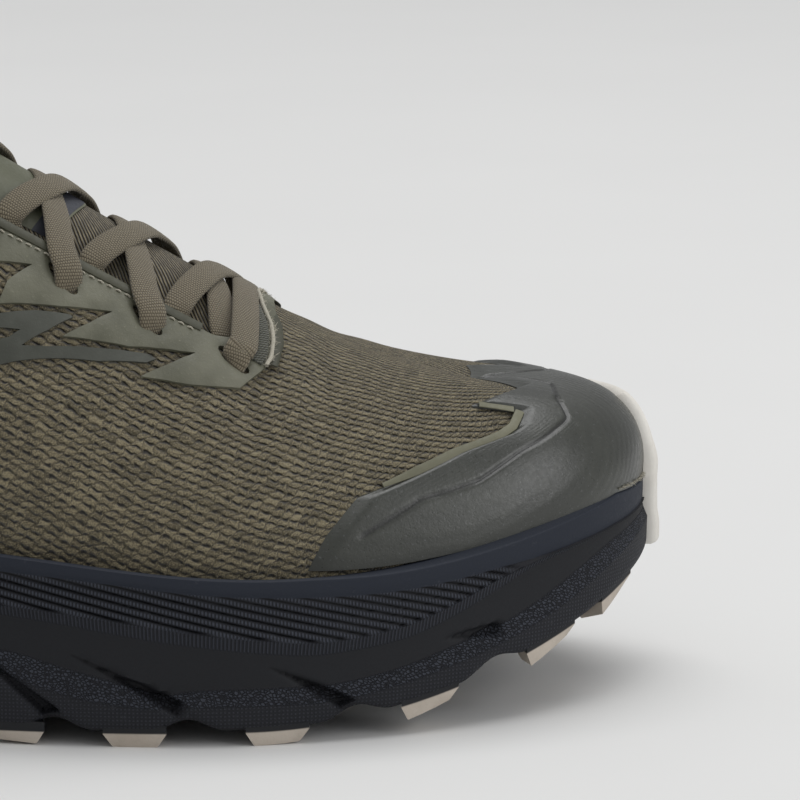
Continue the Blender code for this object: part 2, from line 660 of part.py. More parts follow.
def lug(points, faces, outline, top_inset):
    """Adds a tapered block: the outline on the plate, its corners drawn in at the tread."""
    centre = outline.mean(0)
    base = len(points)
    tread = centre + (outline - centre) * (1 - top_inset)
    height = LUG_HEIGHT + rocker(outline[:, 0])
    points += [(x, y, z - CLEARANCE) for (x, y), z in zip(outline, height)]
    points += [(x, y, rocker(np.array(x)).item()) for x, y in tread]
    count = len(outline)
    for i in range(count):
        j = (i + 1) % count
        faces.append((base + i, base + j, base + count + j, base + count + i))
    faces.append(tuple(base + i for i in range(count)))
    faces.append(tuple(base + count + i for i in reversed(range(count))))


def sole_inset(ring, inset):
    last = last_at(ring)
    return last["edge"] + plan_normal(ring) * (last["flare"] * SKIRT_OUT - inset)[..., None]


def build_outsole(finish, collection, cutters):
    """Outsole: a thin plate in the midsole's recess, with lugs along both edges and down the middle."""
    ring = both_sides(stations())
    plan = sole_inset(ring, PLATE_INSET + CLEARANCE)
    floor = LUG_HEIGHT + rocker(plan[:, 0])
    top = RECESS_DEPTH - CLEARANCE
    rings = [np.concatenate([plan, (floor + h)[:, None]], -1) for h in (top - PLATE_THICKNESS, top)]
    plate = loft("outsole", rings, finish, collection)
    points, faces = [], []
    for place in EDGE_LUGS:
        for side in (-1, 1):
            half = half_near(place * LAST_LENGTH, EDGE_LUG_LENGTH * np.array([-0.5, -0.2, 0.2, 0.5]))
            run = half if side < 0 else RING - half
            outer = sole_inset(run, 0.0006)
            inner = sole_inset(run[::-1], EDGE_LUG_DEPTH)
            inner = inner[1:3]
            lug(points, faces, np.concatenate([outer, inner]), 0.18)
    for index, place in enumerate(MIDDLE_LUGS):
        half = float(half_at_along(place * LAST_LENGTH))
        outer, inner = sole_inset(np.array([half]), 0)[0], sole_inset(np.array([RING - half]), 0)[0]
        middle, wide = (outer + inner) / 2, np.linalg.norm(inner - outer)
        room = wide - 2 * EDGE_LUG_DEPTH
        sides = (-0.25, 0.25) if room > 5.2 * MIDDLE_LUG_SIZE else (0,)
        for side in sides:
            centre = middle + (inner - outer) / wide * room * side
            angle = np.radians([0, 55, 125, 180, 235, 305])
            shape = np.stack([np.cos(angle), np.sin(angle)], 1) * MIDDLE_LUG_SIZE
            lug(points, faces, centre + shape, 0.22)
    blocks = add_object("lugs", points, faces, finish, cutters)
    hide(blocks)
    join = plate.modifiers.new("lugs", "BOOLEAN")
    join.operation = "UNION"
    join.object = blocks
    return plate


def build_toe_bumper(finish, collection):
    """Rubber wrap over the toe, from under the midsole's front over the lip and onto the toe cap."""
    ring = np.linspace(*BUMPER_RING, 11)
    last = last_at(ring)
    lip = last["bed"] + LIP_HEIGHT
    low = LUG_HEIGHT + rocker(last["edge"][:, 0] + last["flare"])
    gap = 2 * CLEARANCE
    rows = []
    for share, extra in ((0.02, -0.0008), (0.2, 0.0), (0.45, 0.0), (0.7, 0.0), (0.95, 0.0), (1.06, -0.0004)):
        plan = last["edge"] + plan_normal(ring) * (last["flare"] * POD_OUT + gap + extra)[:, None]
        rows.append(np.concatenate([plan, (low + (lip - low) * share)[:, None]], -1))
    cap = OVERLAY_GAP + OVERLAY_THICKNESS + 1.5 * gap
    for share in (0.25, 0.5, 0.7, 0.86, 1.0):
        height = lip + (BUMPER_HEIGHT - lip) * share
        out = cap + 0.0012 * max(0.0, 1 - share / 0.4)
        rows.append(form(ring, sweep_at_rise(ring, height), out))
    points = np.array(rows)
    made = add_object("toe_bumper", points.reshape(-1, 3), grid_faces(len(rows), len(ring), False),
                      finish, collection)
    face_outwards(made, (0.8 * LAST_LENGTH, 0, BED_HEIGHT))
    solidify(made, BUMPER_THICKNESS, 1)
    return made


def strap(name, start, end, lift, finish, collection):
    """Flat lace over the throat between two places (along, side), lifted at its ends and middle."""
    count = 12
    t = np.linspace(-0.03, 1.03, count)
    along = start[0] + (end[0] - start[0]) * t
    side = start[1] + (end[1] - start[1]) * t
    hump = np.sin(np.pi * np.clip(t, 0, 1)) ** 2
    out = OVERLAY_GAP + OVERLAY_THICKNESS + 1.5 * CLEARANCE + LACE_THICKNESS / 2
    out = out + lift[0] + (lift[1] - lift[0]) * hump
    centre = on_top(along, side, out)
    normal = on_top(along, side, out + 0.001) - centre
    normal /= np.linalg.norm(normal, axis=1, keepdims=True)
    run = np.gradient(centre, axis=0)
    across = np.cross(run, normal)
    across /= np.linalg.norm(across, axis=1, keepdims=True)
    corners = [(-1, -1), (1, -1), (1, 1), (-1, 1)]
    points = [c + a * LACE_WIDTH / 2 * i + n * LACE_THICKNESS / 2 * j
              for c, a, n in zip(centre, across, normal) for i, j in corners]
    faces = grid_faces(count, 4, True) + [(3, 2, 1, 0), tuple(4 * (count - 1) + i for i in range(4))]
    return add_object(name, points, faces, finish, collection)


def build_laces(finish, collection, cutters):
    """The lacing as one solid: a bar over the throat's front and crossings up to the top eyelets."""
    along, side = eyelet_places()
    laces = strap("laces", (along[0], -side[0]), (along[0], side[0]), (0.0010, 0.0003), finish, collection)
    for level in range(EYELET_COUNT - 1):
        for sign, lift in ((-1, (0.0, 0.0001)), (1, (0.0006, 0.0011))):
            lift = (lift[0] + 0.00025 * (level % 2), lift[1])
            start = (along[level], sign * side[level])
            end = (along[level + 1], -sign * side[level + 1])
            piece = strap(f"strap_{level}_{'over' if sign > 0 else 'under'}", start, end, lift, finish, cutters)
            hide(piece)
            join = laces.modifiers.new(piece.name, "BOOLEAN")
            join.operation = "UNION"
            join.object = piece
    return laces


def main():
    for made in list(bpy.data.objects):
        bpy.data.objects.remove(made)
    shoe = bpy.data.collections.new("trail_running_shoe")
    cutters = bpy.data.collections.new("cutters")
    for made in (shoe, cutters):
        bpy.context.scene.collection.children.link(made)
    upper = build_upper(material("upper_knit", (0.10, 0.085, 0.055), 0.85), shoe)
    eyestay = build_eyestay(material("eyestay_film", (0.13, 0.125, 0.095), 0.5), shoe)
    pins = build_eyelet_cutter(cutters)
    subtract(upper, pins)
    subtract(eyestay, pins)
    build_toe_cap(material("toe_cap_film", (0.075, 0.08, 0.075), 0.45), shoe)
    build_tongue(material("tongue_knit", (0.09, 0.08, 0.055), 0.85), shoe)
    build_insole(material("insole_fabric", (0.05, 0.05, 0.05), 0.9), shoe)
    build_midsole(material("midsole_foam", (0.022, 0.025, 0.030), 0.6), shoe)
    rubber = material("outsole_rubber", (0.48, 0.45, 0.40), 0.65)
    build_outsole(rubber, shoe, cutters)
    build_toe_bumper(material("bumper_rubber", (0.62, 0.61, 0.58), 0.6), shoe)
    build_laces(material("lace_fabric", (0.15, 0.13, 0.10), 0.85), shoe, cutters)
    graph = bpy.context.evaluated_depsgraph_get()
    corners = np.array([corner for made in shoe.objects for corner in made.evaluated_get(graph).bound_box])
    middle = (corners.min(0) + corners.max(0)) / 2
    for made in list(shoe.objects) + list(cutters.objects):
        made.location = (-middle[0], -middle[1], 0)


main()
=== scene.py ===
"""Looks of the trail running shoe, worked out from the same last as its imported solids.

Metres, +Z up, toe towards +X, inner side towards +Y. A place on the last is its ring position,
which runs from the heel along the outer side to the toe and back along the inner side, and its
sweep, the angle up the section from the footbed's edge to the ridge.
"""

import math

import bmesh
import bpy
import numpy as np
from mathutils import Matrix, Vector
from mathutils.geometry import delaunay_2d_cdt


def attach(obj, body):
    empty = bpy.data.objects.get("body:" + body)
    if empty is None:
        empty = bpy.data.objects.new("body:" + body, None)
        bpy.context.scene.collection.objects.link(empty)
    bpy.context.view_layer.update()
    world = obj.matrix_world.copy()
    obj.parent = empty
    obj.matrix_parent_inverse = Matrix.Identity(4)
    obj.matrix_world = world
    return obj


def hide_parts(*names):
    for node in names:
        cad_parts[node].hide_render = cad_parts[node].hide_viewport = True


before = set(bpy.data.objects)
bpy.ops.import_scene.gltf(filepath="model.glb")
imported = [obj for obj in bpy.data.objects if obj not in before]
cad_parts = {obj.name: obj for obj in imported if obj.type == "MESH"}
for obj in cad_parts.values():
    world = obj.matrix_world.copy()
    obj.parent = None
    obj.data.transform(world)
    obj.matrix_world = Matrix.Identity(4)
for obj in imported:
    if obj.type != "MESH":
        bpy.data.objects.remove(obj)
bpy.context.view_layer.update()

# From the last's frame, with the heel at its origin, to the part's frame.
SHIFT = np.array([-0.139611, 0.000127, 0.0])

# Sizes of the last, the sole and the upper, as in the solids.
LAST_LENGTH = 0.282
BALL_WIDTH = 0.096
BED_HEIGHT = 0.030
RIDGE_HEIGHT = 0.060
CLEARANCE = 0.0003
SOLE_FLARE = 0.0095
LIP_HEIGHT = 0.0078
LUG_HEIGHT = 0.0034
PLATE_INSET = 0.0035
RECESS_DEPTH = 0.0012
ROCKER_RUN = 0.082
ROCKER_RADIUS = 0.150
HEEL_ROCKER_START = 0.030
HEEL_ROCKER_RADIUS = 0.060
WAIST_PLACE = 0.125
WAIST_REACH = 0.045
WAIST_RISE = 0.0015
SCALLOP_DEPTH = 0.0024
SCALLOP_WIDTH = 0.0075
BUMPER_RING = (12.7, 14.2)
UPPER_WALL = 0.0020
COLLAR_PADDING = 0.0050
OVERLAY_THICKNESS = 0.0007
OVERLAY_GAP = 0.0006
EYELET_COUNT = 6
EYELET_PITCH = 0.0173
EYELET_INSET = 0.0055
EYELET_FRONT = 0.0060
TOE_LENGTH = 0.080
THROAT_FRONT = LAST_LENGTH - TOE_LENGTH
THROAT_TOP = 0.098
THROAT_NOSE = 0.012
THROAT_HALF_GAP_FRONT = 0.0250
THROAT_HALF_GAP_TOP = 0.0195
TONGUE_THICKNESS = 0.0045
TONGUE_PADDING = 0.0040
TONGUE_OVERLAP = 0.006
TONGUE_CROWN = 0.0022
TONGUE_CROWN_RUN = 0.012
TONGUE_TOP_RING = 4.2
LACE_WIDTH = 0.0062
LACE_THICKNESS = 0.0014
SKIRT_OUT = 0.97
POD_OUT = 1.00
LEDGE_OUT = 0.80
SMOOTH_OUT = 0.74
NARROW_LEDGE_OUT = 0.86
RIB_TOP_OUT = 0.76
LIP_OUT = 0.80
SKIRT_HEIGHT = 0.0016

# The last, a row for each section from heel to toe. along and ridge_along are shares of
# LAST_LENGTH. outer, inner, ridge_side, bulge and lean are shares of BALL_WIDTH. bed is a share of
# BED_HEIGHT, and ridge is the ridge's height over the floor as a share of RIDGE_HEIGHT above
# BED_HEIGHT. square is the section's exponent, 2 for an ellipse. belly is the height of the
# bulge as a share of RIDGE_HEIGHT, and flare is a share of SOLE_FLARE.
LAST_COLUMNS = ("along", "outer", "inner", "bed", "ridge_along", "ridge_side", "ridge",
                "square", "bulge", "belly", "lean", "flare")
LAST_ROWS = (
    (0.000, 0.000, 0.000, 1.26, 0.150, 0.00, 3.50, 5.0, 0.040, 0.42, 0.070, 1.10),
    (0.014, 0.155, 0.155, 1.25, 0.152, 0.00, 3.48, 5.0, 0.040, 0.42, 0.070, 1.08),
    (0.060, 0.275, 0.270, 1.23, 0.160, 0.00, 3.40, 4.9, 0.042, 0.42, 0.065, 1.04),
    (0.150, 0.335, 0.325, 1.21, 0.195, 0.00, 3.10, 4.4, 0.045, 0.42, 0.050, 1.00),
    (0.270, 0.350, 0.310, 1.17, 0.275, 0.00, 2.16, 3.4, 0.042, 0.40, 0.030, 1.00),
    (0.400, 0.388, 0.290, 1.11, 0.400, 0.00, 1.74, 2.4, 0.032, 0.34, 0.000, 0.95),
    (0.520, 0.455, 0.350, 1.04, 0.520, 0.01, 1.43, 2.0, 0.026, 0.26, 0.000, 0.97),
    (0.620, 0.497, 0.440, 0.93, 0.620, 0.02, 1.15, 1.9, 0.026, 0.20, 0.000, 1.00),
    (0.710, 0.495, 0.495, 0.86, 0.705, 0.03, 0.92, 1.9, 0.026, 0.18, 0.000, 1.00),
    (0.800, 0.440, 0.500, 0.88, 0.780, 0.04, 0.74, 2.1, 0.024, 0.18, 0.000, 0.92),
    (0.880, 0.350, 0.460, 1.01, 0.835, 0.05, 0.652, 2.4, 0.022, 0.18, 0.000, 0.78),
    (0.945, 0.225, 0.375, 1.17, 0.868, 0.06, 0.600, 3.1, 0.024, 0.18, 0.000, 0.62),
    (0.985, 0.070, 0.255, 1.28, 0.885, 0.06, 0.575, 3.4, 0.028, 0.18, 0.000, 0.51),
    (1.000, -0.095, 0.095, 1.33, 0.889, 0.06, 0.571, 3.5, 0.028, 0.18, 0.000, 0.47),
)
HALF_RING = len(LAST_ROWS) - 1
RING = 2 * HALF_RING

# The collar's top line: ring position from the heel, and height over the floor as a share of
# RIDGE_HEIGHT above BED_HEIGHT. Past its last row the throat's edge takes over.
COLLAR_ROWS = (
    (0.0, 1.38), (1.2, 1.33), (2.4, 1.10), (3.2, 0.97), (3.8, 1.02), (4.4, 1.26), (4.9, 1.60), (5.4, 2.3),
)

# Steps of the midsole's side, a row for each station along the last. The columns are heights
# between the sole's lower edge (0) and the lip (1): the tops of the pods, their ledge, the smooth
# band, the narrow ledge over it, and the rib band.
BAND_ROWS = (
    (0.00, 0.34, 0.44, 0.60, 0.66, 0.88),
    (0.15, 0.34, 0.46, 0.64, 0.70, 0.90),
    (0.35, 0.35, 0.48, 0.68, 0.74, 0.92),
    (0.532, 0.317, 0.451, 0.666, 0.725, 0.926),
    (0.575, 0.232, 0.380, 0.650, 0.718, 0.932),
    (0.616, 0.174, 0.299, 0.618, 0.700, 0.934),
    (0.644, 0.156, 0.232, 0.592, 0.678, 0.925),
    (0.672, 0.170, 0.268, 0.566, 0.652, 0.917),
    (0.719, 0.176, 0.276, 0.519, 0.608, 0.908),
    (0.761, 0.156, 0.260, 0.483, 0.568, 0.890),
    (0.812, 0.169, 0.277, 0.487, 0.581, 0.854),
    (0.850, 0.183, 0.314, 0.545, 0.640, 0.825),
    (0.884, 0.192, 0.331, 0.630, 0.710, 0.795),
    (0.915, 0.215, 0.380, 0.690, 0.726, 0.745),
    (0.945, 0.258, 0.455, 0.668, 0.684, 0.696),
    (0.970, 0.305, 0.500, 0.620, 0.632, 0.642),
    (1.00, 0.340, 0.470, 0.545, 0.556, 0.566),
)

SCALLOPS = (0.043, 0.142, 0.241, 0.348, 0.457, 0.566, 0.663, 0.786, 0.890)


def closed_spline(points, at):
    """Smooth closed curve through the rows of points, one unit of the parameter per row.

    A uniform cubic B-spline whose control points are solved, with a Fourier transform, so that
    the curve passes through the rows.
    """
    count = len(points)
    response = (4 + 2 * np.cos(2 * np.pi * np.arange(count) / count)) / 6
    control = np.fft.ifft(np.fft.fft(points, axis=0) / response[:, None], axis=0).real
    first = np.floor(at).astype(int)
    t = (at - first)[..., None]
    return (
        (1 - t) ** 3 / 6 * control[(first - 1) % count]
        + (3 * t**3 - 6 * t**2 + 4) / 6 * control[first % count]
        + (-3 * t**3 + 3 * t**2 + 3 * t + 1) / 6 * control[(first + 1) % count]
        + t**3 / 6 * control[(first + 2) % count]
    )


def eased(rows, at):
    """Monotone cubic through the rows of a table, first column against the others."""
    table = np.asarray(rows, float)
    x, y = table[:, 0], table[:, 1:]
    step = np.diff(x)[:, None]
    slope = np.diff(y, axis=0) / step
    tangent = np.zeros_like(y)
    same_way = slope[:-1] * slope[1:] > 0
    mean = 2 * slope[:-1] * slope[1:] / np.where(same_way, slope[:-1] + slope[1:], 1)
    tangent[1:-1] = np.where(same_way, mean, 0)
    at = np.clip(at, x[0], x[-1])
    k = np.clip(np.searchsorted(x, at, side="right") - 1, 0, len(x) - 2)
    t = ((at - x[k]) / (x[k + 1] - x[k]))[..., None]
    h = step[k]
    return (
        y[k] * (2 * t**3 - 3 * t**2 + 1)
        + y[k + 1] * (3 * t**2 - 2 * t**3)
        + h * tangent[k] * (t**3 - 2 * t**2 + t)
        + h * tangent[k + 1] * (t**3 - t**2)
    )


def ring_table():
    """The last's rows as a closed ring: up the outer side to the toe, back along the inner side."""
    rows = [dict(zip(LAST_COLUMNS, row)) for row in LAST_ROWS]
    ring = [(row, -row["outer"]) for row in rows]
    ring += [(row, row["inner"]) for row in reversed(rows[1:-1])]
    keys = [key for key in LAST_COLUMNS if key not in ("outer", "inner")]
    return keys, np.array([[side] + [row[key] for key in keys] for row, side in ring])


RING_KEYS, RING_VALUES = ring_table()


def last_at(ring):
    """The last's section sizes, in metres where they are lengths, at the ring positions."""
    values = closed_spline(RING_VALUES, np.asarray(ring, float))
    found = dict(zip(RING_KEYS, np.moveaxis(values[..., 1:], -1, 0)))
    top = BED_HEIGHT + RIDGE_HEIGHT * found["ridge"]
    return dict(
        edge=np.stack([found["along"] * LAST_LENGTH, values[..., 0] * BALL_WIDTH], -1),
        ridge=np.stack([found["ridge_along"] * LAST_LENGTH, found["ridge_side"] * BALL_WIDTH], -1),
        bed=found["bed"] * BED_HEIGHT,
        top=top,
        square=found["square"],
        bulge=found["bulge"] * BALL_WIDTH,
        belly=found["belly"] * RIDGE_HEIGHT,
        lean=found["lean"] * BALL_WIDTH,
        flare=found["flare"] * SOLE_FLARE,
    )


def raw_form(ring, sweep):
    """Points of the last's surface. A section is a superellipse in the upright plane from the
    footbed's edge to the ridge, moved out by the bulge and in by the lean of the heel."""
    last = last_at(ring)
    to_ridge = last["ridge"] - last["edge"]
    reach = np.linalg.norm(to_ridge, axis=-1)
    power = last["square"]
    cosine, sine = np.cos(sweep), np.sin(sweep)
    radius = (np.abs(cosine) ** power + np.abs(sine) ** power) ** (-1 / power)
    rise = (last["top"] - last["bed"]) * radius * sine
    up = rise / last["belly"]
    outward = last["bulge"] * up * np.exp(1 - up) * cosine
    lean = last["lean"] * cosine * (rise / (1.3 * RIDGE_HEIGHT)) ** 2
    inward = reach * (1 - radius * cosine) - outward + lean
    plan = last["edge"] + to_ridge / reach[..., None] * inward[..., None]
    return np.concatenate([plan, (last["bed"] + rise)[..., None]], -1)


RIDGE_SWEEP = math.pi / 2


def outward_normals(ring, sweep):
    """Unit normals of the form. At the ridge both sides meet, so there the normal turns into the
    ridge line's own."""
    step = 0.01
    swept = np.clip(sweep, 0.02, RIDGE_SWEEP - 0.03)
    along = raw_form(ring + step, swept) - raw_form(ring - step, swept)
    up = raw_form(ring, swept + step) - raw_form(ring, swept - step)
    normal = np.cross(along, up)
    normal /= np.linalg.norm(normal, axis=-1, keepdims=True)
    half = np.clip(np.minimum(ring % RING, RING - ring % RING), 0.5, HALF_RING - 1.5)
    ahead, behind = last_at(half + 0.3), last_at(half - 0.3)
    slope = (ahead["top"] - behind["top"]) / (ahead["ridge"] - behind["ridge"])[..., 0]
    ridge_normal = np.stack([-slope, np.zeros_like(slope), np.ones_like(slope)], -1)
    ridge_normal /= np.linalg.norm(ridge_normal, axis=-1, keepdims=True)
    near = np.clip((sweep - RIDGE_SWEEP + 0.25) / 0.25, 0, 1)[..., None]
    near = near * near * (3 - 2 * near)
    mixed = normal * (1 - near) + ridge_normal * near
    return mixed / np.linalg.norm(mixed, axis=-1, keepdims=True)


def form(ring, sweep, out=0.0):
    """Points at a distance out from the last's surface, at ring positions and sweep angles."""
    ring, sweep, out = np.broadcast_arrays(
        np.asarray(ring, float), np.asarray(sweep, float), np.asarray(out, float))
    return raw_form(ring, sweep) + outward_normals(ring, sweep) * out[..., None]


def half_of(ring):
    """Distance round the ring from the heel, the same on both sides."""
    ring = np.asarray(ring, float) % RING
    return np.minimum(ring, RING - ring)


def sweep_at_rise(ring, height):
    """Sweep at which the form reaches a height over the floor."""
    last = last_at(ring)
    share = np.clip((height - last["bed"]) / (last["top"] - last["bed"]), 1e-6, 0.9999)
    return np.arctan((share ** -last["square"] - 1) ** (-1 / last["square"]))


def sweep_at_side(ring, distance):
    """Sweep at which the form is a distance from the ridge line, seen from above."""
    last = last_at(ring)
    reach = np.linalg.norm(last["ridge"] - last["edge"], axis=-1)
    share = np.clip(distance / reach, 1e-4, 0.999)
    return np.arctan((share ** -last["square"] - 1) ** (1 / last["square"]))


def throat_half_gap(along):
    """Half the throat's width, a taper with a round front end."""
    share = np.clip((along - THROAT_TOP) / (THROAT_FRONT - THROAT_TOP), -0.5, 1)
    straight = THROAT_HALF_GAP_TOP + (THROAT_HALF_GAP_FRONT - THROAT_HALF_GAP_TOP) * share
    past = np.clip((along - (THROAT_FRONT - THROAT_NOSE)) / THROAT_NOSE, 0, 1)
    return straight * (1 - past**2.5) ** (1 / 2.5)


def edge_sweep(ring):
    """Sweep of the upper's top edge: the ridge on the vamp, then the throat's edge and the collar."""
    half = half_of(ring)
    collar_height = BED_HEIGHT + RIDGE_HEIGHT * eased(COLLAR_ROWS, half)[..., 0]
    collar = sweep_at_rise(ring, collar_height)
    along = last_at(ring)["ridge"][..., 0]
    throat = np.where(along < THROAT_FRONT, sweep_at_side(ring, throat_half_gap(along)), RIDGE_SWEEP)
    blend = 0.05
    low = np.minimum(collar, throat)
    eased_edge = low - blend * np.log(np.exp((low - collar) / blend) + np.exp((low - throat) / blend))
    return np.where(along < THROAT_FRONT - 0.03, eased_edge, throat)


def plan_normal(ring):
    """Unit outward normals of the footbed's outline, seen from above."""
    step = 0.02
    along = last_at(ring + step)["edge"] - last_at(ring - step)["edge"]
    along /= np.linalg.norm(along, axis=-1, keepdims=True)
    return np.stack([along[..., 1], -along[..., 0]], -1)


def rocker(along):
    """Rise of the sole's lower side over the floor: arcs at the toe and heel, and the waist's rise."""
    toe = np.clip(along - (LAST_LENGTH - ROCKER_RUN), 0, None) ** 2 / (2 * ROCKER_RADIUS)
    heel = np.clip(HEEL_ROCKER_START - along, 0, None) ** 2 / (2 * HEEL_ROCKER_RADIUS)
    waist = np.clip(1 - ((along - WAIST_PLACE) / WAIST_REACH) ** 2, 0, 1)
    return toe + heel + WAIST_RISE * waist * waist


def scallop(along):
    """Rise of the lower edge between the pods."""
    rise = np.zeros_like(along)
    for place in SCALLOPS:
        near = np.clip(1 - np.abs(along - place * LAST_LENGTH) / SCALLOP_WIDTH, 0, 1)
        rise += SCALLOP_DEPTH * near * near * (3 - 2 * near)
    return rise


def side_ring(ring, out, share, cut=0.0):
    """A ring of the midsole's side: out is a share of the flare, share the height between the
    sole's lower edge and the lip, cut how much of the scallops it follows."""
    last = last_at(ring)
    plan = last["edge"] + plan_normal(ring) * (last["flare"] * out)[..., None]
    low = LUG_HEIGHT + rocker(plan[..., 0])
    height = low + (last["bed"] + LIP_HEIGHT - low) * share + cut * scallop(plan[..., 0])
    return np.concatenate([plan, height[..., None]], -1)


def half_at_along(along, column="edge"):
    """Ring position on the outer side where the edge or the ridge is at a distance from the heel."""
    dense = np.linspace(0, HALF_RING, 1301)
    return np.interp(along, last_at(dense)[column][:, 0], dense)


def collar_fade(half):
    """Share of the collar's padding, whole round the heel and none at the top of the throat."""
    share = np.clip((4.7 - half) / 0.9, 0, 1)
    return share * share * (3 - 2 * share)


def on_top(along, side, out):
    """Points of the form seen from above: distance along the ridge line, and distance to its side,
    minus for the outer side."""
    along, side = np.broadcast_arrays(np.asarray(along, float), np.asarray(side, float))
    half = half_at_along(along, "ridge")
    sweep = np.where(side == 0, RIDGE_SWEEP, sweep_at_side(half, np.abs(side)))
    return form(np.where(side > 0, RING - half, half), sweep, out)


def eyelet_places():
    """Distances along and to the side of the ridge line, from the throat's front upwards."""
    along = THROAT_FRONT - EYELET_FRONT - EYELET_PITCH * np.arange(EYELET_COUNT)
    straight = np.minimum(along, THROAT_FRONT - THROAT_NOSE)
    return along, throat_half_gap(straight) + EYELET_INSET


def smoothstep(value, low=0.0, high=1.0):
    """0 below low, 1 above high, and the cubic 3t^2 - 2t^3 between them."""
    t = np.clip((value - low) / (high - low), 0, 1)
    return t * t * (3 - 2 * t)


def bump_shape(value, centre, width):
    """A bell, 1 at the centre and falling as exp(-(distance / width)^2)."""
    return np.exp(-((value - centre) / width) ** 2)


# Meshes.

def grid_faces(rows, columns, wrap_rows=False, wrap_columns=False):
    """Quads of a grid as rows of four indices, with the row and column of each one's first corner."""
    r = np.arange(rows if wrap_rows else rows - 1)
    c = np.arange(columns if wrap_columns else columns - 1)
    r, c = [a.ravel() for a in np.meshgrid(r, c, indexing="ij")]
    corners = [(r, c), (r, c + 1), (r + 1, c + 1), (r + 1, c)]
    faces = np.stack([(i % rows) * columns + j % columns for i, j in corners], -1)
    return faces, r, c


def grid_uv(uv, r, c):
    """The corners' places in a table of (rows + 1, columns + 1) or fewer texture places."""
    last_r, last_c = uv.shape[0] - 1, uv.shape[1] - 1
    corners = [(r, c), (r, c + 1), (r + 1, c + 1), (r + 1, c)]
    return np.stack([uv[np.minimum(i, last_r), np.minimum(j, last_c)] for i, j in corners], 1)


def add_piece(name, points, faces, finishes, uv=None, index=None, sharp=40, merge=1e-5):
    """A mesh object in the part's frame: its doubles merged, its normals made to agree."""
    mesh = bpy.data.meshes.new(name)
    mesh.from_pydata((points + SHIFT).tolist(), [], [list(f) for f in faces])
    if uv is not None:
        layer = mesh.uv_layers.new(name="weave")
        layer.data.foreach_set("uv", np.ascontiguousarray(uv, np.float32).ravel())
    if index is not None:
        mesh.polygons.foreach_set("material_index", np.asarray(index, np.int32))
    for finish in finishes:
        mesh.materials.append(finish)
    work = bmesh.new()
    work.from_mesh(mesh)
    if merge:
        bmesh.ops.remove_doubles(work, verts=work.verts, dist=merge)
        bmesh.ops.dissolve_degenerate(work, edges=work.edges, dist=merge / 2)
    bmesh.ops.recalc_face_normals(work, faces=work.faces)
    work.to_mesh(mesh)
    work.free()
    made = bpy.data.objects.new(name, mesh)
    bpy.context.scene.collection.objects.link(made)
    mesh.shade_smooth()
    mesh.set_sharp_from_angle(angle=math.radians(sharp))
    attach(made, "root")
    return made


def shell(name, outer, inner, finishes, borders="lrtb", uv=None, **rest):
    """Closed solid between two grids of points. borders names the sides that get a strip:
    left and right columns, top and bottom rows."""
    rows, columns = outer.shape[:2]
    faces, r, c = grid_faces(rows, columns)
    count = rows * columns
    strips = {
        "b": np.arange(columns), "t": (rows - 1) * columns + np.arange(columns)[::-1],
        "l": np.arange(rows)[::-1] * columns, "r": np.arange(rows) * columns + columns - 1,
    }
    parts = [faces, faces[:, ::-1] + count]
    for side in borders:
        run = strips[side]
        parts.append(np.stack([run[1:], run[:-1], run[:-1] + count, run[1:] + count], -1))
    points = np.concatenate([outer.reshape(-1, 3), inner.reshape(-1, 3)])
    all_faces = np.concatenate(parts)
    if uv is not None:
        corner = grid_uv(uv, r, c)
        flat = np.tile(uv.reshape(-1, 2), (2, 1))
        uv = np.concatenate([corner, corner[:, ::-1], flat[np.concatenate(parts[2:])]])
    return add_piece(name, points, all_faces, finishes, uv=uv, **rest)


def spline(points, count):
    """Points evenly spread along a Catmull-Rom curve through the given ones."""
    p = np.asarray(points, float)
    p = np.concatenate([[2 * p[0] - p[1]], p, [2 * p[-1] - p[-2]]])
    t = np.linspace(0, len(p) - 3 - 1e-9, 40 * (len(p) - 3))
    k = np.floor(t).astype(int)
    f = (t - k)[:, None]
    a, b, c, d = p[k], p[k + 1], p[k + 2], p[k + 3]
    curve = 0.5 * (2 * b + (c - a) * f + (2 * a - 5 * b + 4 * c - d) * f**2 + (3 * b - a - 3 * c + d) * f**3)
    return resample(curve, count)


def run_length(points, axis=0):
    """Distance from the first point along an axis of a line or grid."""
    step = np.linalg.norm(np.diff(points, axis=axis), axis=-1)
    zero = np.zeros_like(np.take(step, [0], axis=axis))
    return np.concatenate([zero, np.cumsum(step, axis=axis)], axis=axis)


def resample(line, count):
    """Points at equal steps of length along a line of many dimensions."""
    run = run_length(line)
    at = np.linspace(0, run[-1], count)
    return np.stack([np.interp(at, run, column) for column in line.T], -1)


def unit(vectors):
    return vectors / np.maximum(np.linalg.norm(vectors, axis=-1, keepdims=True), 1e-12)


def top_normal(along, side):
    """The form's outward direction at places seen from above."""
    return unit(on_top(along, side, 0.002) - on_top(along, side, 0.001))


def ribbon(name, centre, across, profile, finishes, **rest):
    """A closed profile carried along a path. across is the path's sideways direction at each point,
    and profile the places (sideways, upwards) round the section, one table for each point."""
    run = unit(np.gradient(centre, axis=0))
    across = unit(across - run * (across * run).sum(-1, keepdims=True))
    up = np.cross(run, across)
    points = centre[:, None] + across[:, None] * profile[..., :1] + up[:, None] * profile[..., 1:]
    rows, columns = points.shape[:2]
    faces, r, c = grid_faces(rows, columns, wrap_columns=True)
    round_ = run_length(profile[len(profile) // 2])
    round_ = np.append(round_, round_[-1] + np.linalg.norm(profile[0][0] - profile[0][-1]))
    uv = np.stack(np.meshgrid(run_length(centre), round_, indexing="ij"), -1)
    corner = np.concatenate([grid_uv(uv, r, c).reshape(-1, 2), np.zeros((2 * columns, 2))])
    start = np.arange(columns)
    ends = [start[::-1].tolist(), (start + (rows - 1) * columns).tolist()]
    return add_piece(name, points.reshape(-1, 3), faces.tolist() + ends, finishes, uv=corner, **rest)


